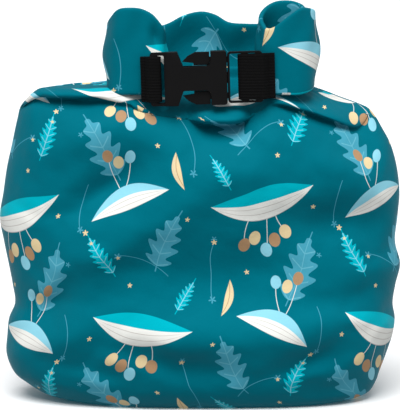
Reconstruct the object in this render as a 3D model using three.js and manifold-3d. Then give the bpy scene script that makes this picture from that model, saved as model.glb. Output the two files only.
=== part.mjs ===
// A small cloth wet bag, closed and standing on its flattened base, in millimetres.
// +Z is up, the front with the buckle faces -Y, and the origin is the middle of the base.
//
// The bag is a soft hollow pouch. Its shoulders fold over in a roll above the front, and a narrow neck stands
// up between them. The mouth of the bag is a flat double band that stands in the neck. Its two ends curl
// round to the front in ears, and end in loops of webbing that a side release buckle holds together.
import * as THREE from "three";
import { mergeVertices } from "three/addons/utils/BufferGeometryUtils.js";
import Module from "manifold-3d";

const wasm = await Module();
wasm.setup();

// Driving dimensions of the pouch
const bodyHeight = 180.5;
const halfWidth = 113.5;
const halfDepth = 50;
const clothWall = 1.6;
const leastWall = 1.1;
const pieceGap = 0.35;

// Driving dimensions of the mouth band, which is the two layers of cloth pressed flat
const bandThickness = 2.6;
const bandHeight = 50;
const bandDip = 4; // how far its lowest edge lies under the top of the shoulders
const ringCentreX = 6;
const ringHalfWidth = 56.4;
const ringBackY = halfDepth * 0.16;
const ringDepth = halfDepth * 0.8;

// The neck that the band stands in
const neckRise = 9;
const neckSlack = 1.7;
const neckEndShare = 0.83; // of the ring's half width

// Driving dimensions of the webbing and the buckle
const webbingWidth = 25;
const webbingThickness = 1.5;
const webbingTail = 5.3; // sewn length beyond the bar
const buckleWidth = 29.4;
const socketLength = 42;
const socketThickness = 8.4;
const plugLength = 19.5;
const barThickness = 3.4;
const fitClearance = 0.4;
const buckleTiltDeg = 1.7;
const partingX = 14.8;
const buckleCentreRise = 6.2; // of the buckle's middle over the top of the shoulders

// Faceting
const pointsAround = 60;
const bandSteps = 64;
const bandSideSteps = 5;

// The pouch's level sections from the base up, a ring of cloth for each row. height is a share of bodyHeight,
// left and right are shares of halfWidth, and front and back are shares of halfDepth. power is the section's
// squareness: 2 is an ellipse. At the front, follow is how far the row moves with the crease of the rolls below,
// and roll is its share of their push outwards, or of their tuck where it is below zero.
const bodyRows = [
  { height: 0, left: 0.645, right: 0.715, front: 0.62, back: 0.58, power: 2.8, follow: 0, roll: 0 },
  { height: 0.006, left: 0.7, right: 0.775, front: 0.67, back: 0.63, power: 2.7, follow: 0, roll: 0 },
  { height: 0.023, left: 0.8, right: 0.855, front: 0.75, back: 0.71, power: 2.5, follow: 0, roll: 0 },
  { height: 0.055, left: 0.884, right: 0.89, front: 0.83, back: 0.79, power: 2.35, follow: 0, roll: 0 },
  { height: 0.087, left: 0.943, right: 0.908, front: 0.88, back: 0.84, power: 2.3, follow: 0, roll: 0 },
  { height: 0.144, left: 0.978, right: 0.941, front: 0.94, back: 0.9, power: 2.2, follow: 0, roll: 0 },
  { height: 0.205, left: 0.973, right: 0.972, front: 0.98, back: 0.94, power: 2.15, follow: 0, roll: 0 },
  { height: 0.258, left: 0.963, right: 0.983, front: 1, back: 0.96, power: 2.15, follow: 0, roll: 0 },
  { height: 0.307, left: 0.932, right: 0.971, front: 1.01, back: 0.97, power: 2.15, follow: 0, roll: 0 },
  { height: 0.366, left: 0.943, right: 0.984, front: 1.01, back: 0.97, power: 2.15, follow: 0, roll: 0 },
  { height: 0.432, left: 0.962, right: 1.006, front: 1, back: 0.97, power: 2.15, follow: 0, roll: 0 },
  { height: 0.504, left: 0.984, right: 0.979, front: 1, back: 0.96, power: 2.15, follow: 0, roll: 0 },
  { height: 0.582, left: 1.003, right: 0.99, front: 0.99, back: 0.95, power: 2.15, follow: 0, roll: 0 },
  { height: 0.659, left: 0.984, right: 0.998, front: 0.97, back: 0.92, power: 2.15, follow: 0.1, roll: 0 },
  { height: 0.737, left: 0.965, right: 0.984, front: 0.93, back: 0.88, power: 2.15, follow: 0.3, roll: 0 },
  { height: 0.809, left: 0.939, right: 0.952, front: 0.86, back: 0.82, power: 2.2, follow: 0.65, roll: 0 },
  { height: 0.861, left: 0.921, right: 0.908, front: 0.79, back: 0.745, power: 2.25, follow: 0.9, roll: -0.1 },
  { height: 0.895, left: 0.908, right: 0.876, front: 0.73, back: 0.69, power: 2.3, follow: 1, roll: -0.45 },
  { height: 0.917, left: 0.9, right: 0.848, front: 0.69, back: 0.645, power: 2.3, follow: 1, roll: -1 },
  { height: 0.919, left: 0.899, right: 0.845, front: 0.685, back: 0.641, power: 2.3, follow: 1, roll: -0.3 },
  { height: 0.922, left: 0.897, right: 0.838, front: 0.675, back: 0.634, power: 2.3, follow: 1, roll: 0.5 },
  { height: 0.935, left: 0.886, right: 0.785, front: 0.63, back: 0.6, power: 2.35, follow: 0.95, roll: 0.95 },
  { height: 0.953, left: 0.86, right: 0.7, front: 0.54, back: 0.54, power: 2.4, follow: 0.8, roll: 1 },
  { height: 0.971, left: 0.818, right: 0.625, front: 0.43, back: 0.465, power: 2.5, follow: 0.5, roll: 0.8 },
  { height: 0.987, left: 0.69, right: 0.545, front: 0.29, back: 0.375, power: 2.7, follow: 0.2, roll: 0.35 },
  { height: 0.998, left: 0.49, right: 0.505, front: 0.12, back: 0.3, power: 3, follow: 0, roll: 0 },
];

// The rolls that the shoulders and the front fold into. across is a share of halfWidth and crease, the height of
// the tuck under the roll, a share of bodyHeight. push and tuck are in shares of halfDepth.
const rollRows = [
  { across: -0.96, crease: 0.95, push: 0, tuck: 0 },
  { across: -0.86, crease: 0.95, push: 0.06, tuck: 0.07 },
  { across: -0.7, crease: 0.948, push: 0.1, tuck: 0.12 },
  { across: -0.5, crease: 0.948, push: 0.1, tuck: 0.12 },
  { across: -0.4, crease: 0.945, push: 0.07, tuck: 0.1 },
  { across: -0.3, crease: 0.93, push: 0.02, tuck: 0.05 },
  { across: -0.2, crease: 0.91, push: 0, tuck: 0 },
  { across: -0.1, crease: 0.9, push: 0, tuck: 0 },
  { across: -0.03, crease: 0.898, push: 0.05, tuck: 0.05 },
  { across: 0.02, crease: 0.888, push: 0.16, tuck: 0.12 },
  { across: 0.1, crease: 0.882, push: 0.24, tuck: 0.17 },
  { across: 0.17, crease: 0.884, push: 0.21, tuck: 0.15 },
  { across: 0.23, crease: 0.9, push: 0.09, tuck: 0.07 },
  { across: 0.28, crease: 0.93, push: 0.01, tuck: 0.02 },
  { across: 0.37, crease: 0.945, push: 0.05, tuck: 0.09 },
  { across: 0.46, crease: 0.922, push: 0.1, tuck: 0.12 },
  { across: 0.6, crease: 0.893, push: 0.12, tuck: 0.13 },
  { across: 0.73, crease: 0.86, push: 0.08, tuck: 0.09 },
  { across: 0.86, crease: 0.825, push: 0, tuck: 0 },
];
const creaseHeight = 0.917; // the share of bodyHeight that the rows above have their crease at

// Long soft folds in the front, each a bent ridge through three points, and a hollow where its lift is below
// zero. across1 to across3 are shares of halfWidth, rise1 to rise3 of bodyHeight, reach and lift of halfDepth.
const frontFolds = [
  { across1: -0.42, rise1: 0.91, across2: -0.25, rise2: 0.905, across3: -0.06, rise3: 0.9, reach: 0.2, lift: 0.11 },
  { across1: -0.24, rise1: 0.87, across2: -0.48, rise2: 0.84, across3: -0.78, rise3: 0.78, reach: 0.18, lift: 0.1 },
  { across1: -0.245, rise1: 0.756, across2: -0.44, rise2: 0.689, across3: -0.66, rise3: 0.597, reach: 0.19, lift: -0.2 },
  { across1: 0.02, rise1: 0.68, across2: -0.44, rise2: 0.5, across3: -0.74, rise3: 0.4, reach: 0.22, lift: 0.1 },
  { across1: 0.52, rise1: 0.47, across2: 0.2, rise2: 0.42, across3: -0.34, rise3: 0.425, reach: 0.5, lift: -0.22 },
  { across1: -0.03, rise1: 0.73, across2: 0.18, rise2: 0.77, across3: 0.34, rise3: 0.73, reach: 0.3, lift: 0.1 },
  { across1: 0.95, rise1: 0.57, across2: 0.65, rise2: 0.585, across3: 0.38, rise3: 0.6, reach: 0.26, lift: -0.14 },
  { across1: 0.48, rise1: 0.8, across2: 0.72, rise2: 0.76, across3: 0.9, rise3: 0.7, reach: 0.2, lift: 0.06 },
  { across1: 0.95, rise1: 0.36, across2: 0.7, rise2: 0.345, across3: 0.5, rise3: 0.335, reach: 0.14, lift: -0.05 },
  { across1: -0.36, rise1: 0.22, across2: 0.1, rise2: 0.24, across3: 0.9, rise3: 0.27, reach: 0.28, lift: 0.11 },
  { across1: -0.48, rise1: 0.22, across2: -0.12, rise2: 0.15, across3: 0.15, rise3: 0.125, reach: 0.16, lift: -0.08 },
  { across1: 0.66, rise1: 0.2, across2: 0.5, rise2: 0.15, across3: 0.32, rise3: 0.1, reach: 0.14, lift: -0.06 },
  { across1: 0.95, rise1: 0.2, across2: 0.68, rise2: 0.12, across3: 0.3, rise3: 0.06, reach: 0.16, lift: 0.06 },
  { across1: -0.6, rise1: 0.42, across2: -0.73, rise2: 0.32, across3: -0.88, rise3: 0.22, reach: 0.16, lift: -0.1 },
  { across1: -0.9, rise1: 0.18, across2: -0.68, rise2: 0.22, across3: -0.44, rise3: 0.3, reach: 0.15, lift: 0.05 },
  { across1: -0.73, rise1: 0.13, across2: -0.54, rise2: 0.14, across3: -0.34, rise3: 0.09, reach: 0.13, lift: -0.05 },
];
const backFolds = [
  { across1: 0.2, rise1: 0.93, across2: 0.4, rise2: 0.8, across3: 0.75, rise3: 0.68, reach: 0.18, lift: -0.06 },
  { across1: -0.3, rise1: 0.93, across2: -0.45, rise2: 0.78, across3: -0.75, rise3: 0.62, reach: 0.18, lift: -0.06 },
  { across1: 0.6, rise1: 0.42, across2: 0.0, rise2: 0.36, across3: -0.6, rise3: 0.42, reach: 0.22, lift: -0.05 },
  { across1: 0.55, rise1: 0.2, across2: 0.0, rise2: 0.16, across3: -0.5, rise3: 0.22, reach: 0.18, lift: 0.05 },
];

// The mouth band seen from above, from the curled end on the left, round the left ear, along the back and round
// the right ear to the curled end on the right. across is a share of ringHalfWidth from the ring's middle, deep
// is 0 on the front walls and 1 on the back wall, and low and high are shares of bandHeight.
const bandRows = [
  { across: -0.8, deep: 0.4, low: 0.16, high: 0.6 },
  { across: -0.67, deep: 0.41, low: 0.16, high: 0.64 },
  { across: -0.54, deep: 0.36, low: 0.15, high: 0.66 },
  { across: -0.455, deep: 0.22, low: 0.11, high: 0.66 },
  { across: -0.475, deep: 0.07, low: 0.05, high: 0.74 },
  { across: -0.54, deep: 0.0, low: 0.0, high: 0.86 },
  { across: -0.66, deep: 0.0, low: 0.0, high: 0.94 },
  { across: -0.78, deep: 0.0, low: 0.0, high: 0.96 },
  { across: -0.9, deep: 0.04, low: 0.0, high: 0.94 },
  { across: -0.98, deep: 0.16, low: 0.03, high: 0.85 },
  { across: -1.0, deep: 0.34, low: 0.08, high: 0.77 },
  { across: -0.98, deep: 0.56, low: 0.1, high: 0.75 },
  { across: -0.92, deep: 0.78, low: 0.1, high: 0.75 },
  { across: -0.81, deep: 0.93, low: 0.09, high: 0.71 },
  { across: -0.66, deep: 1.0, low: 0.07, high: 0.69 },
  { across: -0.46, deep: 0.99, low: 0.07, high: 0.73 },
  { across: -0.28, deep: 1.02, low: 0.07, high: 0.83 },
  { across: -0.1, deep: 1.02, low: 0.07, high: 0.875 },
  { across: 0.05, deep: 1.0, low: 0.07, high: 0.84 },
  { across: 0.18, deep: 0.99, low: 0.07, high: 0.76 },
  { across: 0.34, deep: 1.0, low: 0.07, high: 0.74 },
  { across: 0.52, deep: 1.0, low: 0.07, high: 0.74 },
  { across: 0.68, deep: 0.99, low: 0.07, high: 0.78 },
  { across: 0.81, deep: 0.92, low: 0.09, high: 0.8 },
  { across: 0.92, deep: 0.77, low: 0.1, high: 0.84 },
  { across: 0.985, deep: 0.55, low: 0.1, high: 0.87 },
  { across: 1.0, deep: 0.32, low: 0.07, high: 0.91 },
  { across: 0.965, deep: 0.12, low: 0.03, high: 0.95 },
  { across: 0.86, deep: 0.01, low: 0.0, high: 0.95 },
  { across: 0.72, deep: 0.0, low: 0.0, high: 0.84 },
  { across: 0.6, deep: 0.0, low: 0.0, high: 0.74 },
  { across: 0.52, deep: 0.06, low: 0.04, high: 0.745 },
  { across: 0.492, deep: 0.22, low: 0.1, high: 0.84 },
  { across: 0.53, deep: 0.37, low: 0.14, high: 0.94 },
  { across: 0.64, deep: 0.46, low: 0.15, high: 1.01 },
  { across: 0.78, deep: 0.46, low: 0.15, high: 1.02 },
  { across: 0.88, deep: 0.41, low: 0.16, high: 0.99 },
];
const bandBulge = 0.05; // of bandHeight, how far the band's middle bows outwards

const ringNearY = ringBackY - ringDepth;
const bandBaseZ = bodyHeight - bandDip;

// Maths

// The value of a column at a place between a table's rows, on a smooth curve through them.
function smoothValue(rows, column, place) {
  const last = rows.length - 1;
  const i = Math.min(Math.max(Math.floor(place), 0), last - 1);
  const t = place - i;
  const a = rows[Math.max(i - 1, 0)][column];
  const b = rows[i][column];
  const c = rows[i + 1][column];
  const d = rows[Math.min(i + 2, last)][column];
  return b + 0.5 * t * (c - a + t * (2 * a - 5 * b + 4 * c - d + t * (3 * (b - c) + d - a)));
}

// The place between the rows where a column that only grows has this value.
function placeOf(rows, column, value) {
  const last = rows.length - 1;
  if (value <= rows[0][column]) return 0;
  for (let i = 0; i < last; i += 1) {
    const from = rows[i][column];
    const to = rows[i + 1][column];
    if (value <= to) return i + (value - from) / (to - from);
  }
  return last;
}

function smoothStep(value, from, to) {
  const t = Math.min(Math.max((value - from) / (to - from), 0), 1);
  return t * t * (3 - 2 * t);
}

// How far a point lies from a stretch of a fold, and how far along the stretch that is, from 0 to 1.
function awayFromStretch(x, z, x1, z1, x2, z2) {
  const dx = x2 - x1;
  const dz = z2 - z1;
  const along = Math.min(Math.max(((x - x1) * dx + (z - z1) * dz) / (dx * dx + dz * dz), 0), 1);
  return { away: Math.hypot(x - x1 - along * dx, z - z1 - along * dz), along };
}

// The lift that a list of folds gives at a point of the front or the back.
function foldLift(folds, x, z) {
  let lift = 0;
  for (const fold of folds) {
    const xs = [fold.across1, fold.across2, fold.across3].map((share) => share * halfWidth);
    const zs = [fold.rise1, fold.rise2, fold.rise3].map((share) => share * bodyHeight);
    const first = awayFromStretch(x, z, xs[0], zs[0], xs[1], zs[1]);
    const second = awayFromStretch(x, z, xs[1], zs[1], xs[2], zs[2]);
    const near = first.away < second.away ? first : second;
    const along = first.away < second.away ? first.along / 2 : 0.5 + second.along / 2;
    const across = near.away / (fold.reach * halfDepth);
    const fade = 0.35 + 0.65 * Math.sin(Math.PI * along);
    lift += fold.lift * halfDepth * fade * Math.exp(-across * across);
  }
  return lift;
}

// The pouch

// The neck's rows follow from the band that stands in it, in the same shares as the rows above.
function neckRows() {
  const end = ringHalfWidth * neckEndShare;
  const lipFront = ringBackY - bandThickness / 2 - neckSlack - clothWall;
  const lipBack = ringBackY + bandThickness / 2 + neckSlack + clothWall;
  const row = (rise, grow) => ({
    height: (bodyHeight + rise) / bodyHeight,
    left: (end + grow - ringCentreX) / halfWidth,
    right: (end + grow + ringCentreX) / halfWidth,
    front: (grow * 0.2 - lipFront) / halfDepth,
    back: (grow * 0.2 + lipBack) / halfDepth,
    power: 5,
    follow: 0,
    roll: 0,
  });
  return [row(neckRise * 0.22, 4.5), row(neckRise * 0.5, 1.2), row(neckRise, 0)];
}
const pouchRows = [...bodyRows, ...neckRows()];

// A point of the pouch's outside: turn runs once around from the right, by the back, and place runs up the rows.
function pouchPoint(turn, place) {
  const value = (column) => smoothValue(pouchRows, column, place);
  const roundness = 2 / value("power");
  const cos = Math.cos(turn);
  const sin = Math.sin(turn);
  const shapeX = Math.sign(cos) * Math.abs(cos) ** roundness;
  const shapeY = Math.sign(sin) * Math.abs(sin) ** roundness;
  const left = value("left") * halfWidth;
  const right = value("right") * halfWidth;
  const front = value("front") * halfDepth;
  const back = value("back") * halfDepth;
  const x = (right - left) / 2 + (shapeX * (right + left)) / 2;
  let y = (back - front) / 2 + (shapeY * (back + front)) / 2;
  let z = value("height") * bodyHeight;

  const inward = smoothStep(z / bodyHeight, 0.02, 0.12) * (1 - smoothStep(z / bodyHeight, 0.97, 1.0));
  const frontShare = smoothStep(-shapeY, 0.1, 0.6);
  const backShare = smoothStep(shapeY, 0.1, 0.6);
  y -= frontShare * inward * foldLift(frontFolds, x, z);
  y += backShare * inward * foldLift(backFolds, x, z);

  const rollPlace = placeOf(rollRows, "across", x / halfWidth);
  const rollValue = (column) => smoothValue(rollRows, column, rollPlace);
  const edges = smoothStep(Math.abs(x / halfWidth), 1, 0.8);
  z += frontShare * edges * value("follow") * (rollValue("crease") - creaseHeight) * bodyHeight;
  const roll = value("roll");
  const reach = Math.max(rollValue(roll > 0 ? "push" : "tuck"), 0) * halfDepth;
  y -= frontShare * roll * reach;
  return new THREE.Vector3(x, y, z);
}

// The places of the rings in the table, and of those that the hollow keeps: each at least a wall over the last.
const ringPlaces = pouchRows.map((row, place) => place);
const hollowPlaces = [0];
for (const place of ringPlaces) {
  const last = hollowPlaces[hollowPlaces.length - 1];
  if ((pouchRows[place].height - pouchRows[last].height) * bodyHeight > clothWall) hollowPlaces.push(place);
}

// A ring of points on the outside, moved in along the normal by this distance.
function pouchRing(place, inset) {
  const ring = [];
  const top = pouchRows.length - 1;
  const stepPlace = 0.02;
  const stepTurn = 0.01;
  for (let j = 0; j < pointsAround; j += 1) {
    const turn = (2 * Math.PI * (j + 0.5)) / pointsAround;
    const point = pouchPoint(turn, place);
    const up = pouchPoint(turn, Math.min(place + stepPlace, top)).sub(pouchPoint(turn, Math.max(place - stepPlace, 0)));
    const round = pouchPoint(turn + stepTurn, place).sub(pouchPoint(turn - stepTurn, place));
    const normal = round.cross(up).normalize();
    if (place === 0) normal.setZ(0).normalize();
    if (place === top) normal.setZ(0).normalize();
    ring.push(point.addScaledVector(normal, -inset));
  }
  return ring;
}

// A closed solid from rings of points, each ring running the same way round, with a flat cap at both ends.
function solidOfRings(rings) {
  const n = rings[0].length;
  const positions = [];
  const faces = [];
  for (const ring of rings) for (const p of ring) positions.push(p.x, p.y, p.z);
  for (let i = 0; i + 1 < rings.length; i += 1) {
    for (let j = 0; j < n; j += 1) {
      const a = i * n + j;
      const b = i * n + ((j + 1) % n);
      faces.push([a, b, b + n], [a, b + n, a + n]);
    }
  }
  const cap = (ring, first, turned) => {
    const middle = ring.reduce((sum, p) => sum.add(p), new THREE.Vector3()).divideScalar(n);
    const centre = positions.length / 3;
    positions.push(middle.x, middle.y, middle.z);
    for (let j = 0; j < n; j += 1) {
      const a = first + j;
      const b = first + ((j + 1) % n);
      faces.push(turned ? [b, a, centre] : [a, b, centre]);
    }
  };
  cap(rings[0], 0, true);
  cap(rings[rings.length - 1], (rings.length - 1) * n, false);
  return toSolid(new Float32Array(positions), new Uint32Array(faces.flat()));
}

function toSolid(vertProperties, triVerts) {
  return new wasm.Manifold(new wasm.Mesh({ numProp: 3, vertProperties, triVerts }));
}

// The shifts by a distance both ways along each axis.
function shiftsBy(distance) {
  return [-distance, distance].flatMap((step) => [
    [step, 0, 0],
    [0, step, 0],
    [0, 0, step],
  ]);
}

// The pouch's cloth: the outside, less a hollow that runs out through the neck. Where a tight fold would bring
// the hollow too near the outside, it is held back to leave leastWall along every axis.
function pouchSolid() {
  const raised = (ring) => ring.map((p) => new THREE.Vector3(p.x, p.y, p.z + neckRise));
  const outside = ringPlaces.map((place) => pouchRing(place, 0));
  const hollow = hollowPlaces.map((place) => pouchRing(place, clothWall));
  for (const p of hollow[0]) p.z = clothWall;
  const tall = solidOfRings([...outside, raised(outside[outside.length - 1])]);
  const open = solidOfRings([...hollow, raised(hollow[hollow.length - 1])]);
  const room = shiftsBy(leastWall).reduce((rest, shift) => rest.intersect(tall.translate(shift)), open);
  return solidOfRings(outside).subtract(room);
}

// The mouth band

// One cross-section of the band, a thin upright oblong with round edges, at a place between its rows.
function bandSection(place) {
  const at = (where) => {
    const value = (column) => smoothValue(bandRows, column, where);
    return {
      x: ringCentreX + value("across") * ringHalfWidth,
      y: ringNearY + value("deep") * ringDepth,
      low: bandBaseZ + value("low") * bandHeight,
      high: bandBaseZ + value("high") * bandHeight,
    };
  };
  const here = at(place);
  const last = bandRows.length - 1;
  const before = at(Math.max(place - 0.1, 0));
  const after = at(Math.min(place + 0.1, last));
  const away = new THREE.Vector3(before.y - after.y, after.x - before.x, 0).normalize();
  const half = bandThickness / 2;
  const low = here.low + half;
  const high = here.high - half;
  const middle = (share) =>
    new THREE.Vector3(here.x, here.y, low + share * (high - low)).addScaledVector(
      away,
      bandBulge * bandHeight * Math.sin(Math.PI * share) ** 2 * smoothStep(here.y, ringNearY + 4, ringNearY + 14),
    );
  const section = [];
  for (let k = 0; k <= bandSideSteps; k += 1) section.push(middle(k / bandSideSteps).addScaledVector(away, half));
  section.push(middle(1).add(new THREE.Vector3(0, 0, half)));
  for (let k = bandSideSteps; k >= 0; k -= 1) section.push(middle(k / bandSideSteps).addScaledVector(away, -half));
  section.push(middle(0).add(new THREE.Vector3(0, 0, -half)));
  return section;
}

function bandSolid() {
  const rings = [];
  for (let i = 0; i <= bandSteps; i += 1) rings.push(bandSection((i * (bandRows.length - 1)) / bandSteps));
  return solidOfRings(rings);
}

// What is left of a solid a gap clear of another, as one body.
function clearOf(solid, other, gap) {
  const left = shiftsBy(gap).reduce((rest, shift) => rest.subtract(other.translate(shift)), solid);
  return left.decompose().reduce((best, body) => (body.volume() > best.volume() ? body : best));
}

// The buckle, in a frame of its own: x runs from the parting line towards the plug, y points to the back, z up

// A solid with this outline in x and z, from front to back.
function faceSolid(shape, thickness) {
  const geometry = new THREE.ExtrudeGeometry(shape, { depth: thickness, bevelEnabled: false, curveSegments: 5 });
  geometry.translate(0, 0, -thickness / 2).rotateX(Math.PI / 2);
  return geometrySolid(geometry);
}

// A solid with this outline in x and y, from low to high.
function planSolid(shape, height) {
  const geometry = new THREE.ExtrudeGeometry(shape, { depth: height, bevelEnabled: false, curveSegments: 8 });
  geometry.translate(0, 0, -height / 2);
  return geometrySolid(geometry);
}

function geometrySolid(geometry) {
  geometry.deleteAttribute("normal");
  geometry.deleteAttribute("uv");
  const merged = mergeVertices(geometry, 1e-4);
  return toSolid(merged.attributes.position.array, new Uint32Array(merged.index.array));
}

function polygon(points) {
  return new THREE.Shape(points.map(([x, y]) => new THREE.Vector2(x, y)));
}

function roundedBox(left, right, low, high, radius) {
  const shape = new THREE.Shape();
  shape.moveTo(left + radius, low);
  shape.lineTo(right - radius, low);
  shape.absarc(right - radius, low + radius, radius, -Math.PI / 2, 0);
  shape.lineTo(right, high - radius);
  shape.absarc(right - radius, high - radius, radius, 0, Math.PI / 2);
  shape.lineTo(left + radius, high);
  shape.absarc(left + radius, high - radius, radius, Math.PI / 2, Math.PI);
  shape.lineTo(left, low + radius);
  shape.absarc(left + radius, low + radius, radius, Math.PI, 1.5 * Math.PI);
  return shape;
}

const mirrored = (points) => points.map(([x, z]) => [x, -z]).reverse();

const buckleHalf = buckleWidth / 2;
const barWidth = 4;
const slotHalf = webbingWidth / 2 + 0.5;
const socketSlotWidth = 3.7;
const ringLength = socketLength * 0.21; // of the socket's closed mouth
const windowLength = socketLength * 0.36;
const windowFloor = buckleHalf * 0.45; // from the middle
const prongThickness = socketThickness * 0.45;
const channelHalf = prongThickness / 2 + fitClearance;
const plugHalf = buckleHalf * 0.955;

// The socket: a shell with two side windows that the prongs' heads stand in, and a bar for the webbing.
function socketSolid() {
  const left = -socketLength;
  const slotEnd = left + barWidth + socketSlotWidth;
  const rim = roundedBox(left, 0, -buckleHalf, buckleHalf, 1.6);
  rim.holes.push(roundedBox(left + barWidth, slotEnd, -slotHalf, slotHalf, 0.8));
  const windowLeft = -ringLength - windowLength;
  const window = [
    [windowLeft - 3.4, buckleHalf + 1],
    [windowLeft, windowFloor],
    [-ringLength - 2.2, windowFloor],
    [-ringLength - 0.6, windowFloor + 1],
    [-ringLength, windowFloor + 3],
    [-ringLength, buckleHalf + 1],
  ];
  const half = socketThickness / 2;
  const thin = barThickness / 2;
  const side = polygon([
    [left - 1, -thin],
    [left + barWidth + 1, -thin],
    [slotEnd + 1.5, -half * 0.86],
    [-ringLength - windowLength, -half],
    [1, -half],
    [1, half],
    [-ringLength - windowLength, half],
    [slotEnd + 1.5, half * 0.86],
    [left + barWidth + 1, thin],
    [left - 1, thin],
  ]);
  const channelDepth = ringLength + windowLength + 4;
  const channel = polygon([
    [-channelDepth, -channelHalf],
    [1, -channelHalf],
    [1, channelHalf],
    [-channelDepth, channelHalf],
  ]);
  return faceSolid(rim, socketThickness + 2)
    .intersect(planSolid(side, buckleWidth + 2))
    .subtract(faceSolid(polygon(mirrored(window)), socketThickness + 4))
    .subtract(faceSolid(polygon([...window].reverse()), socketThickness + 4))
    .subtract(planSolid(channel, 2 * (buckleHalf - 1.8)));
}

// The plug: a frame with two bars for the webbing, two springy prongs and a guide between them.
function plugSolid() {
  const near = pieceGap;
  const far = plugLength;
  const frame = roundedBox(near, far, -plugHalf, plugHalf, 1.8);
  const firstBar = plugLength * 0.415;
  frame.holes.push(roundedBox(near + 1.2, firstBar, -slotHalf, slotHalf, 0.8));
  frame.holes.push(roundedBox(firstBar + barWidth * 0.8, far - barWidth * 0.9, -slotHalf, slotHalf, 0.8));
  const headBack = -ringLength - 0.6;
  const headStep = -ringLength - windowLength * 0.62;
  const tip = -ringLength - windowLength * 1.02;
  const stemLow = windowFloor + 1.7;
  const stemHigh = stemLow + 3.2;
  const prong = [
    [near + 1, stemLow],
    [near + 1, stemHigh],
    [headBack, stemHigh],
    [headBack, buckleHalf - 0.4],
    [headStep + 1, buckleHalf - 0.4],
    [headStep - 3, buckleHalf - 2.4],
    [tip, windowFloor + 2.7],
    [headStep, windowFloor + 1.9],
    [headStep, windowFloor + 0.5],
    [headBack, windowFloor + 0.5],
    [headBack, stemLow],
  ];
  const guideHalf = windowFloor * 0.45;
  const guide = [
    [-socketLength * 0.5, -guideHalf + 1],
    [-socketLength * 0.48, -guideHalf],
    [near + 1, -guideHalf],
    [near + 1, guideHalf],
    [-socketLength * 0.48, guideHalf],
    [-socketLength * 0.5, guideHalf - 1],
  ];
  const frameHalf = prongThickness * 0.62;
  const thin = barThickness / 2;
  const side = polygon([
    [-socketLength, -prongThickness / 2],
    [near, -prongThickness / 2],
    [near, -frameHalf],
    [near + 1.6, -frameHalf],
    [firstBar - 1, -thin],
    [far + 1, -thin],
    [far + 1, thin],
    [firstBar - 1, thin],
    [near + 1.6, frameHalf],
    [near, frameHalf],
    [near, prongThickness / 2],
    [-socketLength, prongThickness / 2],
  ]);
  const thick = socketThickness;
  return faceSolid(frame, thick)
    .add(faceSolid(polygon([...prong].reverse()), thick))
    .add(faceSolid(polygon(mirrored(prong).reverse()), thick))
    .add(faceSolid(polygon(guide), thick))
    .intersect(planSolid(side, buckleWidth + 2));
}

// A loop of webbing seen from above. It wraps a bar whose far side is at barX and lies flat from there to its
// sewn end at endX, where its back comes to lie at backY against the cloth.
function webbingSolid(barX, barEndX, endX, backY) {
  const way = Math.sign(endX - barX);
  const inner = barThickness / 2 + pieceGap;
  const outer = inner + webbingThickness;
  const outline = (halfDeep, nose, tailX, backTail, frontTail) => {
    const shape = new THREE.Shape();
    shape.moveTo(tailX, backTail);
    shape.lineTo(barEndX, halfDeep);
    shape.lineTo(barX + way * halfDeep * 0.3, halfDeep);
    shape.quadraticCurveTo(barX - way * nose, halfDeep, barX - way * nose, 0);
    shape.quadraticCurveTo(barX - way * nose, -halfDeep, barX + way * halfDeep * 0.3, -halfDeep);
    shape.lineTo(barEndX, -halfDeep);
    shape.lineTo(tailX, frontTail);
    return shape;
  };
  const frontTail = backY - 2 * webbingThickness;
  const joinX = barEndX + way * (Math.abs(endX - barEndX) * 0.45);
  const joinY = (backY + frontTail) / 2;
  const noseGap = 2 * pieceGap;
  const loop = outline(outer, noseGap + webbingThickness, endX, backY, frontTail);
  const eye = outline(inner, noseGap, joinX, joinY + 0.15, joinY - 0.15);
  return planSolid(loop, webbingWidth).subtract(planSolid(eye, webbingWidth + 2));
}

// The assembly

const clothColour = new THREE.Color(0x04697b);
const blackPlastic = new THREE.Color(0x131313);

function addMesh(parent, name, solid, colour, roughness) {
  const made = solid.getMesh();
  const n = made.numProp;
  const points = new Float32Array(made.numVert * 3);
  for (let i = 0; i < made.numVert; i += 1) points.set(made.vertProperties.subarray(i * n, i * n + 3), i * 3);
  const geometry = new THREE.BufferGeometry();
  geometry.setAttribute("position", new THREE.BufferAttribute(points, 3));
  geometry.setIndex(new THREE.BufferAttribute(made.triVerts, 1));
  geometry.computeVertexNormals();
  const material = new THREE.MeshStandardMaterial({ color: colour, roughness, metalness: 0 });
  const mesh = new THREE.Mesh(geometry, material);
  mesh.name = name;
  parent.add(mesh);
  return mesh;
}

const bag = new THREE.Group();
const pouch = pouchSolid();
addMesh(bag, "bag_body", pouch, clothColour, 0.62);
addMesh(bag, "mouth_band", clearOf(bandSolid(), pouch, pieceGap), clothColour, 0.62);

// The buckle hangs in front of the band's front walls, a gap clear of them, and leans up to the right.
const wallFaceY = ringNearY - bandThickness / 2;
const buckle = new THREE.Group();
const buckleY = wallFaceY - pieceGap - socketThickness / 2;
buckle.position.set(partingX, buckleY, bodyHeight + buckleCentreRise);
buckle.rotation.y = THREE.MathUtils.degToRad(-buckleTiltDeg);
bag.add(buckle);

const tailBackY = wallFaceY - pieceGap - buckleY;
const socketBarX = -socketLength + barWidth;
const plugBarX = plugLength * 0.415;
addMesh(buckle, "buckle_socket", socketSolid(), blackPlastic, 0.45);
addMesh(buckle, "buckle_plug", plugSolid(), blackPlastic, 0.45);
addMesh(
  buckle,
  "webbing_left",
  webbingSolid(socketBarX, -socketLength - pieceGap, -socketLength - webbingTail, tailBackY),
  blackPlastic,
  0.85,
);
addMesh(
  buckle,
  "webbing_right",
  webbingSolid(plugBarX, plugLength + pieceGap, plugLength + webbingTail * 1.3, tailBackY),
  blackPlastic,
  0.85,
);

export default bag;
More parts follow.
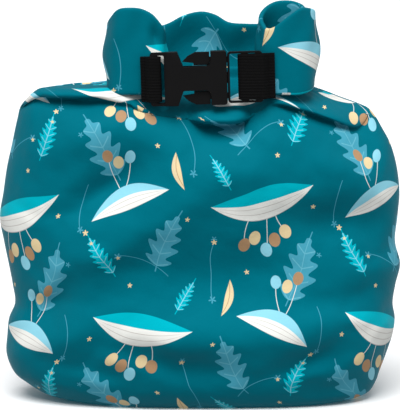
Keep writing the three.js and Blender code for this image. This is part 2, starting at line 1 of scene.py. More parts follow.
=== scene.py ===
# A small cloth wet bag on a pale floor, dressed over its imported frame.
# Lengths are in millimetres while a piece is worked out, and in metres once it is a mesh.
#
# The cloth body and the mouth band follow the same tables as the solids on a finer grid, with a finer table
# for the rolls and with small folds of their own. The buckle and its webbing are rebuilt with rounded edges.
# The print is worked out by shader nodes from the cloth's own flat coordinates, in millimetres.
import math
from collections import namedtuple

import bmesh
import bpy
import numpy as np
from mathutils import Matrix, Vector


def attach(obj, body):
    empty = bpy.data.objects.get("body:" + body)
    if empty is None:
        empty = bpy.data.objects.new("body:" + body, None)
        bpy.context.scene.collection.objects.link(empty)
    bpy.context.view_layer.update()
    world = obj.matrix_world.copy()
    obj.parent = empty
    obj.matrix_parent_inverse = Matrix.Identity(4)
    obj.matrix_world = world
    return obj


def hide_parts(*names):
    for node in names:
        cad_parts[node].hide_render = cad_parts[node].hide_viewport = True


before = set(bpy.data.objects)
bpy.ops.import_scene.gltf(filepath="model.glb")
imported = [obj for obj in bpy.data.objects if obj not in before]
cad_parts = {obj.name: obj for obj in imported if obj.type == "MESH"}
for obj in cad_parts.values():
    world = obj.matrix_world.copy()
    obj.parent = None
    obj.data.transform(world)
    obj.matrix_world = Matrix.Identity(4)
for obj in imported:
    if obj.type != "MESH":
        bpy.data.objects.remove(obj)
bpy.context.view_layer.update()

MM = 0.001

# Driving dimensions, as in the frame
BODY_HEIGHT = 180.5
HALF_WIDTH = 113.5
HALF_DEPTH = 50.0
BAND_THICKNESS = 2.6
BAND_HEIGHT = 50.0
BAND_DIP = 4.0
RING_CENTRE_X = 6.0
RING_HALF_WIDTH = 56.4
RING_BACK_Y = HALF_DEPTH * 0.16
RING_DEPTH = HALF_DEPTH * 0.8
RING_NEAR_Y = RING_BACK_Y - RING_DEPTH
BAND_BASE_Z = BODY_HEIGHT - BAND_DIP
NECK_RISE = 9.0
NECK_SLACK = 1.7
NECK_WALL = 1.6
NECK_END_SHARE = 0.83
PIECE_GAP = 0.35
CLOTH_WALL = 1.2
CREASE_HEIGHT = 0.917

# The pouch's level sections, from the base up, as shares of its height, half width and half depth
BodyRow = namedtuple("BodyRow", "height left right front back power follow roll")
BODY_ROWS = [BodyRow(*row) for row in (
    (0, 0.645, 0.715, 0.62, 0.58, 2.8, 0, 0),
    (0.006, 0.7, 0.775, 0.67, 0.63, 2.7, 0, 0),
    (0.023, 0.8, 0.855, 0.75, 0.71, 2.5, 0, 0),
    (0.055, 0.884, 0.89, 0.83, 0.79, 2.35, 0, 0),
    (0.087, 0.943, 0.908, 0.88, 0.84, 2.3, 0, 0),
    (0.144, 0.978, 0.941, 0.94, 0.9, 2.2, 0, 0),
    (0.205, 0.973, 0.972, 0.98, 0.94, 2.15, 0, 0),
    (0.258, 0.963, 0.983, 1, 0.96, 2.15, 0, 0),
    (0.307, 0.932, 0.971, 1.01, 0.97, 2.15, 0, 0),
    (0.366, 0.943, 0.984, 1.01, 0.97, 2.15, 0, 0),
    (0.432, 0.962, 1.006, 1, 0.97, 2.15, 0, 0),
    (0.504, 0.984, 0.979, 1, 0.96, 2.15, 0, 0),
    (0.582, 1.003, 0.99, 0.99, 0.95, 2.15, 0, 0),
    (0.659, 0.984, 0.998, 0.97, 0.92, 2.15, 0.1, 0),
    (0.737, 0.965, 0.984, 0.93, 0.88, 2.15, 0.3, 0),
    (0.809, 0.939, 0.952, 0.86, 0.82, 2.2, 0.65, 0),
    (0.861, 0.921, 0.908, 0.79, 0.745, 2.25, 0.9, -0.1),
    (0.895, 0.908, 0.876, 0.73, 0.69, 2.3, 1, -0.45),
    (0.917, 0.9, 0.848, 0.69, 0.645, 2.3, 1, -1),
    (0.919, 0.899, 0.845, 0.685, 0.641, 2.3, 1, -0.3),
    (0.922, 0.897, 0.838, 0.675, 0.634, 2.3, 1, 0.5),
    (0.935, 0.886, 0.785, 0.63, 0.6, 2.35, 0.95, 0.95),
    (0.953, 0.86, 0.7, 0.54, 0.54, 2.4, 0.8, 1),
    (0.971, 0.818, 0.625, 0.43, 0.465, 2.5, 0.5, 0.8),
    (0.987, 0.69, 0.545, 0.29, 0.375, 2.7, 0.2, 0.35),
    (0.998, 0.49, 0.505, 0.12, 0.3, 3, 0, 0),
)]

# The rolls that the shoulders and the front fold into
RollRow = namedtuple("RollRow", "across crease push tuck")
ROLL_ROWS = [RollRow(*row) for row in (
    (-0.96, 0.955, 0, 0),
    (-0.86, 0.962, 0.06, 0.07),
    (-0.7, 0.963, 0.1, 0.12),
    (-0.5, 0.963, 0.1, 0.12),
    (-0.42, 0.957, 0.07, 0.09),
    (-0.35, 0.948, 0.03, 0.05),
    (-0.28, 0.93, 0, 0.01),
    (-0.2, 0.915, 0, 0),
    (-0.1, 0.907, 0, 0),
    (-0.045, 0.9, 0.01, 0.01),
    (-0.015, 0.893, 0.14, 0.1),
    (0.02, 0.888, 0.21, 0.15),
    (0.1, 0.886, 0.24, 0.17),
    (0.17, 0.887, 0.23, 0.16),
    (0.21, 0.892, 0.17, 0.13),
    (0.24, 0.903, 0.02, 0.03),
    (0.28, 0.925, 0, 0),
    (0.34, 0.944, 0, 0.01),
    (0.4, 0.945, 0.07, 0.09),
    (0.48, 0.93, 0.11, 0.12),
    (0.6, 0.905, 0.12, 0.13),
    (0.73, 0.873, 0.08, 0.09),
    (0.86, 0.838, 0, 0),
)]

# Long soft folds, each a bent ridge through three points, or a hollow where its lift is below zero. across is
# a share of the half width, rise of the height, and reach and lift of the half depth.
Fold = namedtuple("Fold", "across1 rise1 across2 rise2 across3 rise3 reach lift")
FRONT_FOLDS = [Fold(*row) for row in (
    (-0.24, 0.87, -0.48, 0.84, -0.78, 0.78, 0.18, 0.1),
    (-0.245, 0.756, -0.44, 0.689, -0.66, 0.597, 0.19, -0.2),
    (0.02, 0.68, -0.44, 0.5, -0.74, 0.4, 0.22, 0.1),
    (0.52, 0.47, 0.2, 0.42, -0.34, 0.425, 0.5, -0.22),
    (-0.03, 0.73, 0.18, 0.77, 0.34, 0.73, 0.3, 0.1),
    (0.95, 0.57, 0.65, 0.585, 0.38, 0.6, 0.26, -0.14),
    (0.48, 0.8, 0.72, 0.76, 0.9, 0.7, 0.2, 0.06),
    (0.95, 0.36, 0.7, 0.345, 0.5, 0.335, 0.14, -0.05),
    (-0.36, 0.22, 0.1, 0.24, 0.9, 0.27, 0.28, 0.11),
    (-0.48, 0.22, -0.12, 0.15, 0.15, 0.125, 0.16, -0.08),
    (0.66, 0.2, 0.5, 0.15, 0.32, 0.1, 0.14, -0.06),
    (0.95, 0.2, 0.68, 0.12, 0.3, 0.06, 0.16, 0.06),
    (-0.6, 0.42, -0.73, 0.32, -0.88, 0.22, 0.16, -0.1),
    (-0.9, 0.18, -0.68, 0.22, -0.44, 0.3, 0.15, 0.05),
    (-0.73, 0.13, -0.54, 0.14, -0.34, 0.09, 0.13, -0.05),
)]
BACK_FOLDS = [Fold(*row) for row in (
    (0.2, 0.93, 0.4, 0.8, 0.75, 0.68, 0.18, -0.06),
    (-0.3, 0.93, -0.45, 0.78, -0.75, 0.62, 0.18, -0.06),
    (0.6, 0.42, 0.0, 0.36, -0.6, 0.42, 0.22, -0.05),
    (0.55, 0.2, 0.0, 0.16, -0.5, 0.22, 0.18, 0.05),
)]

# Finer creases that only the cloth pieces have
FINE_FRONT_FOLDS = [Fold(*row) for row in (
    (0.0, 0.87, -0.06, 0.8, -0.05, 0.72, 0.06, -0.016),
    (0.26, 0.88, 0.36, 0.8, 0.4, 0.7, 0.05, 0.018),
    (0.33, 0.9, 0.5, 0.82, 0.58, 0.72, 0.05, -0.018),
    (-0.97, 0.66, -0.8, 0.6, -0.6, 0.62, 0.07, -0.02),
    (-0.95, 0.38, -0.82, 0.33, -0.66, 0.34, 0.07, -0.022),
    (0.97, 0.5, 0.84, 0.46, 0.7, 0.5, 0.07, -0.02),
    (0.96, 0.3, 0.82, 0.25, 0.62, 0.26, 0.08, -0.022),
    (-0.75, 0.1, -0.5, 0.06, -0.2, 0.07, 0.07, -0.02),
    (0.7, 0.12, 0.45, 0.07, 0.15, 0.06, 0.07, -0.02),
)]
FINE_BACK_FOLDS = [Fold(*row) for row in (
    (0.1, 0.93, 0.14, 0.82, 0.1, 0.72, 0.05, 0.02),
    (-0.12, 0.93, -0.2, 0.8, -0.18, 0.7, 0.05, -0.02),
    (0.95, 0.6, 0.8, 0.55, 0.6, 0.6, 0.07, -0.02),
    (-0.95, 0.45, -0.8, 0.4, -0.6, 0.44, 0.07, -0.02),
)]

# The mouth band seen from above, from the curled end on the left, round by the back to the one on the right
BandRow = namedtuple("BandRow", "across deep low high")
BAND_ROWS = [BandRow(*row) for row in (
    (-0.8, 0.4, 0.16, 0.6),
    (-0.67, 0.41, 0.16, 0.64),
    (-0.54, 0.36, 0.15, 0.66),
    (-0.455, 0.22, 0.11, 0.66),
    (-0.475, 0.07, 0.05, 0.74),
    (-0.54, 0.0, 0.0, 0.86),
    (-0.66, 0.0, 0.0, 0.94),
    (-0.78, 0.0, 0.0, 0.96),
    (-0.9, 0.04, 0.0, 0.94),
    (-0.98, 0.16, 0.03, 0.85),
    (-1.0, 0.34, 0.08, 0.77),
    (-0.98, 0.56, 0.1, 0.75),
    (-0.92, 0.78, 0.1, 0.75),
    (-0.81, 0.93, 0.09, 0.71),
    (-0.66, 1.0, 0.07, 0.69),
    (-0.46, 0.99, 0.07, 0.73),
    (-0.28, 1.02, 0.07, 0.83),
    (-0.1, 1.02, 0.07, 0.875),
    (0.05, 1.0, 0.07, 0.84),
    (0.18, 0.99, 0.07, 0.76),
    (0.34, 1.0, 0.07, 0.74),
    (0.52, 1.0, 0.07, 0.74),
    (0.68, 0.99, 0.07, 0.78),
    (0.81, 0.92, 0.09, 0.8),
    (0.92, 0.77, 0.1, 0.84),
    (0.985, 0.55, 0.1, 0.87),
    (1.0, 0.32, 0.07, 0.91),
    (0.965, 0.12, 0.03, 0.95),
    (0.86, 0.01, 0.0, 0.95),
    (0.72, 0.0, 0.0, 0.84),
    (0.6, 0.0, 0.0, 0.74),
    (0.52, 0.06, 0.04, 0.745),
    (0.492, 0.22, 0.1, 0.84),
    (0.53, 0.37, 0.14, 0.94),
    (0.64, 0.46, 0.15, 1.01),
    (0.78, 0.46, 0.15, 1.02),
    (0.88, 0.41, 0.16, 0.99),
    (0.92, 0.36, 0.17, 0.95),
)]
BAND_BULGE = 0.05


# Maths

def smooth_value(rows, column, place):
    """The value of a column at places between the rows, on a smooth curve through them."""
    values = np.array([getattr(row, column) for row in rows], float)
    last = len(rows) - 1
    i = np.clip(np.floor(place).astype(int), 0, last - 1)
    t = place - i
    a = values[np.maximum(i - 1, 0)]
    b = values[i]
    c = values[i + 1]
    d = values[np.minimum(i + 2, last)]
    return b + 0.5 * t * (c - a + t * (2 * a - 5 * b + 4 * c - d + t * (3 * (b - c) + d - a)))


def place_of(rows, column, value):
    """The place between the rows where a column that only grows has this value."""
    return np.interp(value, [getattr(row, column) for row in rows], np.arange(len(rows)))


def smooth_step(value, start, end):
    t = np.clip((value - start) / (end - start), 0, 1)
    return t * t * (3 - 2 * t)


def away_from_stretch(x, z, x1, z1, x2, z2):
    """How far points lie from a stretch of a fold, and how far along it that is, from 0 to 1."""
    dx = x2 - x1
    dz = z2 - z1
    along = np.clip(((x - x1) * dx + (z - z1) * dz) / (dx * dx + dz * dz), 0, 1)
    return np.hypot(x - x1 - along * dx, z - z1 - along * dz), along


def fold_lift(folds, x, z):
    """The lift that a list of folds gives at points of the front or the back."""
    lift = np.zeros_like(x)
    for fold in folds:
        xs = [share * HALF_WIDTH for share in (fold.across1, fold.across2, fold.across3)]
        zs = [share * BODY_HEIGHT for share in (fold.rise1, fold.rise2, fold.rise3)]
        away1, along1 = away_from_stretch(x, z, xs[0], zs[0], xs[1], zs[1])
        away2, along2 = away_from_stretch(x, z, xs[1], zs[1], xs[2], zs[2])
        near_first = away1 < away2
        away = np.where(near_first, away1, away2)
        along = np.where(near_first, along1 / 2, 0.5 + along2 / 2)
        across = away / (fold.reach * HALF_DEPTH)
        fade = 0.35 + 0.65 * np.sin(np.pi * along)
        lift += fold.lift * HALF_DEPTH * fade * np.exp(-across * across)
    return lift


def steps_between(points, axis):
    """The lengths of the steps from point to point along an axis of a grid of points."""
    return np.linalg.norm(np.diff(points, axis=axis), axis=-1)


def normals_of(points):
    """The outward normals of a grid of points whose rows close into rings, anticlockwise seen from above."""
    around = np.roll(points, -1, 1) - np.roll(points, 1, 1)
    up = np.gradient(points, axis=0)
    normal = np.cross(around, up)
    return normal / np.maximum(np.linalg.norm(normal, axis=-1, keepdims=True), 1e-9)


def ripple(u, v, seed, shortest, longest, count=18):
    """Soft even unevenness from -1 to 1, made of waves in all directions."""
    rng = np.random.default_rng(seed)
    total = np.zeros_like(u)
    for _ in range(count):
        wavelength = rng.uniform(shortest, longest)
        heading = rng.uniform(0, 2 * np.pi)
        phase = rng.uniform(0, 2 * np.pi)
        total += np.sin(2 * np.pi * (u * np.cos(heading) + v * np.sin(heading)) / wavelength + phase)
    return total / np.sqrt(count)


# Meshes

def new_object(name, data):
    """An object of this data in the scene."""
    made = bpy.data.objects.new(name, data)
    bpy.context.scene.collection.objects.link(made)
    return made


def mesh_object(name, points, faces, material, uv=None):
    """An object from points in millimetres. uv has a print coordinate for each corner of each face."""
    mesh = bpy.data.meshes.new(name)
    mesh.from_pydata((np.asarray(points, float) * MM).tolist(), [], faces)
    if uv is not None:
        layer = mesh.uv_layers.new(name="cloth")
        layer.uv.foreach_set("vector", np.asarray(uv, np.float32).ravel())
    mesh.polygons.foreach_set("use_smooth", [True] * len(mesh.polygons))
    mesh.materials.append(material)
    mesh.update()
    return new_object(name, mesh)


def quad_corners(u, v):
    """The print coordinates of the four corners of each quad of a grid, in the order of ring_faces."""
    grid = np.stack(np.broadcast_arrays(u, v), -1)
    return np.stack([grid[:-1, :-1], grid[:-1, 1:], grid[1:, 1:], grid[1:, :-1]], 2)


def apply_modifiers(piece):
    depsgraph = bpy.context.evaluated_depsgraph_get()
    mesh = bpy.data.meshes.new_from_object(piece.evaluated_get(depsgraph))
    piece.modifiers.clear()
    piece.data = mesh
    return piece


def ring_faces(rows, columns):
    """The quads of a grid whose rows close into rings."""
    faces = []
    for i in range(rows - 1):
        for j in range(columns):
            a = i * columns + j
            b = i * columns + (j + 1) % columns
            faces.append((a, b, b + columns, a + columns))
    return faces


# Shader nodes

def with_other(operation):
    return lambda self, other: self.math(operation, self, other)


def after_other(operation):
    return lambda self, other: self.math(operation, other, self)


def alone(operation):
    return lambda self: self.math(operation, self)


class Field:
    """A number that a shader works out at each point, written with Python's own arithmetic."""

    def __init__(self, tree, socket):
        self.tree = tree
        self.socket = socket

    def math(self, operation, *inputs):
        node = self.tree.nodes.new("ShaderNodeMath")
        node.operation = operation
        for place, value in enumerate(inputs):
            if isinstance(value, Field):
                self.tree.links.new(value.socket, node.inputs[place])
            else:
                node.inputs[place].default_value = value
        return Field(self.tree, node.outputs[0])

    __add__ = with_other("ADD")
    __sub__ = with_other("SUBTRACT")
    __mul__ = with_other("MULTIPLY")
    __truediv__ = with_other("DIVIDE")
    most = with_other("MAXIMUM")
    angle = with_other("ARCTAN2")
    __radd__ = after_other("ADD")
    __rsub__ = after_other("SUBTRACT")
    __rmul__ = after_other("MULTIPLY")
    __abs__ = alone("ABSOLUTE")
    floor = alone("FLOOR")
    fract = alone("FRACT")
    cos = alone("COSINE")
    sin = alone("SINE")
    root = alone("SQRT")

    def step(self, start, end):
        """0 up to start, 1 from end on, and a smooth step between."""
        node = self.tree.nodes.new("ShaderNodeMapRange")
        node.interpolation_type = "SMOOTHSTEP"
        self.tree.links.new(self.socket, node.inputs["Value"])
        node.inputs["From Min"].default_value = start
        node.inputs["From Max"].default_value = end
        return Field(self.tree, node.outputs["Result"])

    def over(self, edge=0.14):
        """1 where the number is above zero and 0 below, with a soft edge this wide each way."""
        return self.step(-edge, edge)


def split(tree, vector):
    """The three numbers of a vector."""
    parts = tree.nodes.new("ShaderNodeSeparateXYZ")
    tree.links.new(vector, parts.inputs["Vector"])
    return [Field(tree, parts.outputs[axis]) for axis in "XYZ"]


def srgb(red, green, blue):
    """A linear colour from one in 0 to 255, as seen on a screen."""
    def linear(value):
        value /= 255
        return value / 12.92 if value <= 0.04045 else ((value + 0.055) / 1.055) ** 2.4
    return (linear(red), linear(green), linear(blue), 1.0)


def mixed(tree, below, above, share):
    """A colour over another where share is 1. Each is a socket or a colour."""
    node = tree.nodes.new("ShaderNodeMix")
    node.data_type = "RGBA"
    tree.links.new(share.socket, node.inputs["Factor"])
    for name, colour in (("A", below), ("B", above)):
        socket = [entry for entry in node.inputs if entry.name == name and entry.type == "RGBA"][0]
        if isinstance(colour, tuple):
            socket.default_value = colour
        else:
            tree.links.new(colour, socket)
    return [entry for entry in node.outputs if entry.type == "RGBA"][0]


def new_material(name):
    material = bpy.data.materials.new(name)
    material.use_nodes = True
    tree = material.node_tree
    shader = tree.nodes["Principled BSDF"]
    return material, tree, shader


def bump(tree, shader, height, distance, strength):
    node = tree.nodes.new("ShaderNodeBump")
    node.inputs["Strength"].default_value = strength
    node.inputs["Distance"].default_value = distance
    tree.links.new(height.socket, node.inputs["Height"])
    tree.links.new(node.outputs["Normal"], shader.inputs["Normal"])


def noise(tree, vector, scale, detail=3.0):
    node = tree.nodes.new("ShaderNodeTexNoise")
    node.inputs["Scale"].default_value = scale
    node.inputs["Detail"].default_value = detail
    tree.links.new(vector, node.inputs["Vector"])
    return Field(tree, node.outputs["Fac"])


# The print: leaves, sprigs of berries and florets, in a half-drop repeat

CELL_WIDTH = 71.0
CELL_HEIGHT = 147.0
WEAVE_SPACING = 0.7

TEAL = srgb(0, 106, 122)
TEAL_DEEP = srgb(0, 99, 115)
TURQUOISE = srgb(0, 170, 186)
LIGHT_BLUE = srgb(140, 205, 222)
CREAM = srgb(230, 229, 223)
VEIN = srgb(194, 188, 182)
SAND = srgb(226, 203, 157)
BROWN = srgb(176, 138, 102)
STEEL = srgb(70, 154, 176)
STEEL_LINE = srgb(98, 174, 192)


def placed(tree, vector, x, y, turn_deg):
    """The coordinates about a point of the print, turned so that x runs along the motif."""
    node = tree.nodes.new("ShaderNodeMapping")
    node.vector_type = "TEXTURE"
    node.inputs["Location"].default_value = (x, y, 0)
    node.inputs["Rotation"].default_value = (0, 0, math.radians(turn_deg))
    tree.links.new(vector, node.inputs["Vector"])
    return split(tree, node.outputs["Vector"])[:2]


def paint_leaf(tree, colour, vector, x, y, turn_deg, half_length, half_width, bend, upper, lower):
    """A curved leaf with a plain upper half, and a lower half with fine veins."""
    along, across = placed(tree, vector, x, y, turn_deg)
    share = along / half_length
    full = (1 - share * share).most(0.0)
    across = across + bend * full
    edge = full * (half_width * 0.86) + (full * full) * (half_width * 0.14) * (1 + 0.5 * share)
    inside = (edge - abs(across) - 0.2).over()
    veins = abs(((across / edge.most(0.5)) * 2.6).fract() - 0.5)
    vein = (0.06 - veins).over(0.04) * (0.8 - abs(share)).over(0.1)
    pale = mixed(tree, lower, VEIN, vein)
    body = mixed(tree, pale, upper, (across - half_width * 0.12 * full).over())
    return mixed(tree, colour, body, inside)


def paint_berry(tree, colour, vector, x, y, turn_deg, half_length, half_width, shade):
    along, across = placed(tree, vector, x, y, turn_deg)
    along = along / half_length
    across = across / half_width
    reach = (along * along + across * across).root()
    return mixed(tree, colour, shade, ((1 - reach) * half_width).over())


def paint_stem(tree, colour, vector, x, y, turn_deg, half_length, bend, half_width, shade):
    """A thin curved line, bowed by bend at its middle."""
    along, across = placed(tree, vector, x, y, turn_deg)
    share = along / half_length
    line = half_width - abs(across - bend * (1 - share * share))
    return mixed(tree, colour, shade, line.over() * (half_length - abs(along)).over())


def paint_floret(tree, colour, vector, x, y, turn_deg, radius, petals, depth, shade):
    """A small flower with round petals."""
    along, across = placed(tree, vector, x, y, turn_deg)
    reach = (along * along + across * across).root()
    edge = radius * (1 - depth + depth * (across.angle(along) * float(petals)).cos())
    return mixed(tree, colour, shade, (edge - reach).over())


def paint_lobed_leaf(tree, colour, vector, x, y, turn_deg, half_length, half_width, lobes, shade, rib):
    """A long leaf with lobes down both sides, a midrib and ribs to the lobes."""
    along, across = placed(tree, vector, x, y, turn_deg)
    share = along / half_length
    full = (1 - share * share).most(0.0)
    wave = ((along - abs(across) * 0.7) * (math.pi * lobes / half_length)).cos()
    edge = full.root() * half_width * (1 - 0.25 * share) * (0.74 + 0.26 * wave)
    inside = (edge - abs(across) - 0.2).over()
    ribs = (wave - 0.965).over(0.01) * (abs(across) * -1 + half_width * 0.62).over()
    midrib = (0.22 - abs(across)).over()
    body = mixed(tree, shade, rib, ribs.most(midrib))
    return mixed(tree, colour, body, inside)


def print_colour(tree):
    """The colour of the printed cloth, from the map of its flat coordinates in millimetres."""
    flat = tree.nodes.new("ShaderNodeUVMap")
    flat.uv_map = "cloth"
    x, y, _ = split(tree, flat.outputs["UV"])
    column = (x / CELL_WIDTH).floor()
    odd = (column / 2).fract() * 2
    local_x = (x - (column + 0.5) * CELL_WIDTH) * (1 - 2 * odd)
    local_y = ((y / CELL_HEIGHT + odd / 2).fract() - 0.5) * CELL_HEIGHT
    joined = tree.nodes.new("ShaderNodeCombineXYZ")
    tree.links.new(local_x.socket, joined.inputs["X"])
    tree.links.new(local_y.socket, joined.inputs["Y"])
    cell = joined.outputs["Vector"]

    tone = noise(tree, flat.outputs["UV"], 0.03, 1.0)
    colour = mixed(tree, TEAL_DEEP, TEAL, tone)

    # Tone-on-tone leaves at the back of the print
    for x0, y0, turn, half in ((19, 4, 66, 19), (-17, -52, 114, 17)):
        colour = paint_stem(tree, colour, cell, x0, y0, turn, half + 4, 0, 0.3, STEEL)
        colour = paint_lobed_leaf(tree, colour, cell, x0, y0, turn, half, half * 0.5, 4, STEEL, STEEL_LINE)

    # Bare twigs, and florets in the same colour
    for x0, y0, turn, half, bend in ((-29, 6, 82, 17, 2.5), (29, -30, 96, 13, -2), (-4, -68, 30, 15, 3)):
        colour = paint_stem(tree, colour, cell, x0, y0, turn, half, bend, 0.2, STEEL)
    for x0, y0, radius in ((-31, -12, 2.2), (30, -44, 2.0), (10, -61, 2.2), (-27, 24, 1.8), (31, 12, 1.6)):
        colour = paint_floret(tree, colour, cell, x0, y0, 50, radius, 5, 0.4, STEEL)

    # Turquoise ferns
    for x0, y0, turn, half in ((20, -60, 66, 12), (-25, 63, 118, 9)):
        colour = paint_stem(tree, colour, cell, x0, y0, turn, half + 3, 0, 0.25, TURQUOISE)
        colour = paint_lobed_leaf(tree, colour, cell, x0, y0, turn, half, half * 0.46, 6, TURQUOISE,
                                  LIGHT_BLUE)

    # A sprig under the large leaf, and one over the small leaf
    for x0, y0, turn, half, bend in ((-7, 33, 72, 11, 1.5), (1, 31, 96, 13, -1), (8, 35, 116, 10, 1.5)):
        colour = paint_stem(tree, colour, cell, x0, y0, turn, half, bend, 0.2, CREAM)
    for x0, y0, turn, shade in ((-10.5, 19.5, 70, BROWN), (-4.5, 23, 80, SAND), (1.5, 15.5, 96, LIGHT_BLUE),
                                (6.5, 21, 100, BROWN), (12.5, 25.5, 116, SAND)):
        colour = paint_berry(tree, colour, cell, x0, y0, turn, 4.1, 3.2, shade)
    for x0, y0, turn, half, bend in ((6, -14, 100, 11, 1.2), (13, -12, 72, 10, -1)):
        colour = paint_stem(tree, colour, cell, x0, y0, turn, half, bend, 0.2, CREAM)
    for x0, y0, turn, shade in ((4, -3.5, 100, LIGHT_BLUE), (10.5, -6, 80, SAND), (16.5, -1.5, 72, BROWN)):
        colour = paint_berry(tree, colour, cell, x0, y0, turn, 3.8, 2.9, shade)

    # The two leaves
    colour = paint_leaf(tree, colour, cell, -2, 48, 10, 29, 9.6, 5.5, TURQUOISE, CREAM)
    colour = paint_leaf(tree, colour, cell, 3, -31, -24, 23, 7.2, -4.5, LIGHT_BLUE, CREAM)

    # A long seed pod with a lighter rib
    colour = paint_leaf(tree, colour, cell, -24, -11, 78, 11, 2.6, 2.2, SAND, SAND)
    colour = paint_stem(tree, colour, cell, -24, -11, 78, 9, -2.2, 0.16, BROWN)

    # Florets
    for x0, y0, radius in ((-27, 22, 1.7), (27, 40, 1.5), (-12, 3, 1.5), (27, -46, 1.7), (24, -52, 1.1),
                           (-29, -38, 1.4), (6, 68, 1.4), (10, -62, 1.2)):
        colour = paint_floret(tree, colour, cell, x0, y0, 20, radius, 5, 0.28, SAND)
    return colour, flat.outputs["UV"], x, y


def cloth_material():
    """The printed cloth: matt, with a fine weave and a soft crumple."""
    material, tree, shader = new_material("printed_cloth")
    colour, flat, x, y = print_colour(tree)
    fine = noise(tree, flat, 0.9, 4.0)
    shade = mixed(tree, colour, (0.0, 0.0, 0.0, 1.0), (1 - fine) * 0.05)
    tree.links.new(shade, shader.inputs["Base Color"])
    turns = 2 * math.pi / WEAVE_SPACING
    weave = (x * turns).sin() * (y * turns).sin()
    crumple = noise(tree, flat, 0.09, 3.0)
    bump(tree, shader, weave * 0.04 + crumple * 1.3 + fine * 0.1, 0.0007, 0.5)
    rough = 0.5 + fine * 0.12
    tree.links.new(rough.socket, shader.inputs["Roughness"])
    shader.inputs["Specular IOR Level"].default_value = 0.16
    shader.inputs["Specular Tint"].default_value = srgb(40, 200, 225)
    return material


def object_place(tree):
    """The place on the object itself, in metres, as a socket and as three numbers."""
    node = tree.nodes.new("ShaderNodeTexCoord")
    return node.outputs["Object"], split(tree, node.outputs["Object"])


RIB_SPACING = 1.6
STRAND_SPACING = 1.1


def webbing_material():
    """Black ribbed webbing: ribs along its length and a fine cross weave."""
    material, tree, shader = new_material("webbing")
    place, (x, y, z) = object_place(tree)
    ribs = (z * (2 * math.pi / (RIB_SPACING * MM))).sin()
    weave = (x * (2 * math.pi / (STRAND_SPACING * MM))).sin()
    grain = noise(tree, place, 900.0)
    height = ribs * 0.5 + ribs * weave * 0.35 + grain * 0.4
    bump(tree, shader, height, 0.0003, 0.45)
    colour = mixed(tree, srgb(7, 7, 7), srgb(24, 23, 24), (ribs * 0.25 + 0.35) * grain)
    tree.links.new(colour, shader.inputs["Base Color"])
    shader.inputs["Roughness"].default_value = 0.85
    shader.inputs["Specular IOR Level"].default_value = 0.06
    return material


def plastic_material():
    """Satin black moulded plastic with a faint grain."""
    material, tree, shader = new_material("buckle_plastic")
    place, _ = object_place(tree)
    grain = noise(tree, place, 1500.0, 2.0)
    cloudy = noise(tree, place, 60.0, 2.0)
    colour = mixed(tree, srgb(5, 5, 5), srgb(12, 11, 12), cloudy)
    tree.links.new(colour, shader.inputs["Base Color"])
    rough = 0.34 + grain * 0.1 + cloudy * 0.06
    tree.links.new(rough.socket, shader.inputs["Roughness"])
    bump(tree, shader, grain, 0.0001, 0.35)
    shader.inputs["Specular IOR Level"].default_value = 0.08
    return material


def floor_material():
    material, tree, shader = new_material("floor")
    place, _ = object_place(tree)
    tone = noise(tree, place, 3.0, 1.0)
    colour = mixed(tree, srgb(246, 246, 246), srgb(250, 250, 250), tone)
    tree.links.new(colour, shader.inputs["Base Color"])
    shader.inputs["Roughness"].default_value = 0.9
    shader.inputs["Specular IOR Level"].default_value = 0.1
    return material


CLOTH = cloth_material()
WEBBING = webbing_material()
PLASTIC = plastic_material()


# The cloth body

def neck_rows():
    """The neck's rows follow from the band that stands in it."""
    end = RING_HALF_WIDTH * NECK_END_SHARE
    lip_front = RING_BACK_Y - BAND_THICKNESS / 2 - NECK_SLACK - NECK_WALL
    lip_back = RING_BACK_Y + BAND_THICKNESS / 2 + NECK_SLACK + NECK_WALL
    rows = []
    for rise, grow in ((NECK_RISE * 0.22, 4.5), (NECK_RISE * 0.5, 1.2), (NECK_RISE, 0)):
        rows.append(BodyRow(
            (BODY_HEIGHT + rise) / BODY_HEIGHT,
            (end + grow - RING_CENTRE_X) / HALF_WIDTH,
            (end + grow + RING_CENTRE_X) / HALF_WIDTH,
            (grow * 0.2 - lip_front) / HALF_DEPTH,
            (grow * 0.2 + lip_back) / HALF_DEPTH,
            5, 0, 0,
        ))
    return rows


POUCH_ROWS = BODY_ROWS + neck_rows()


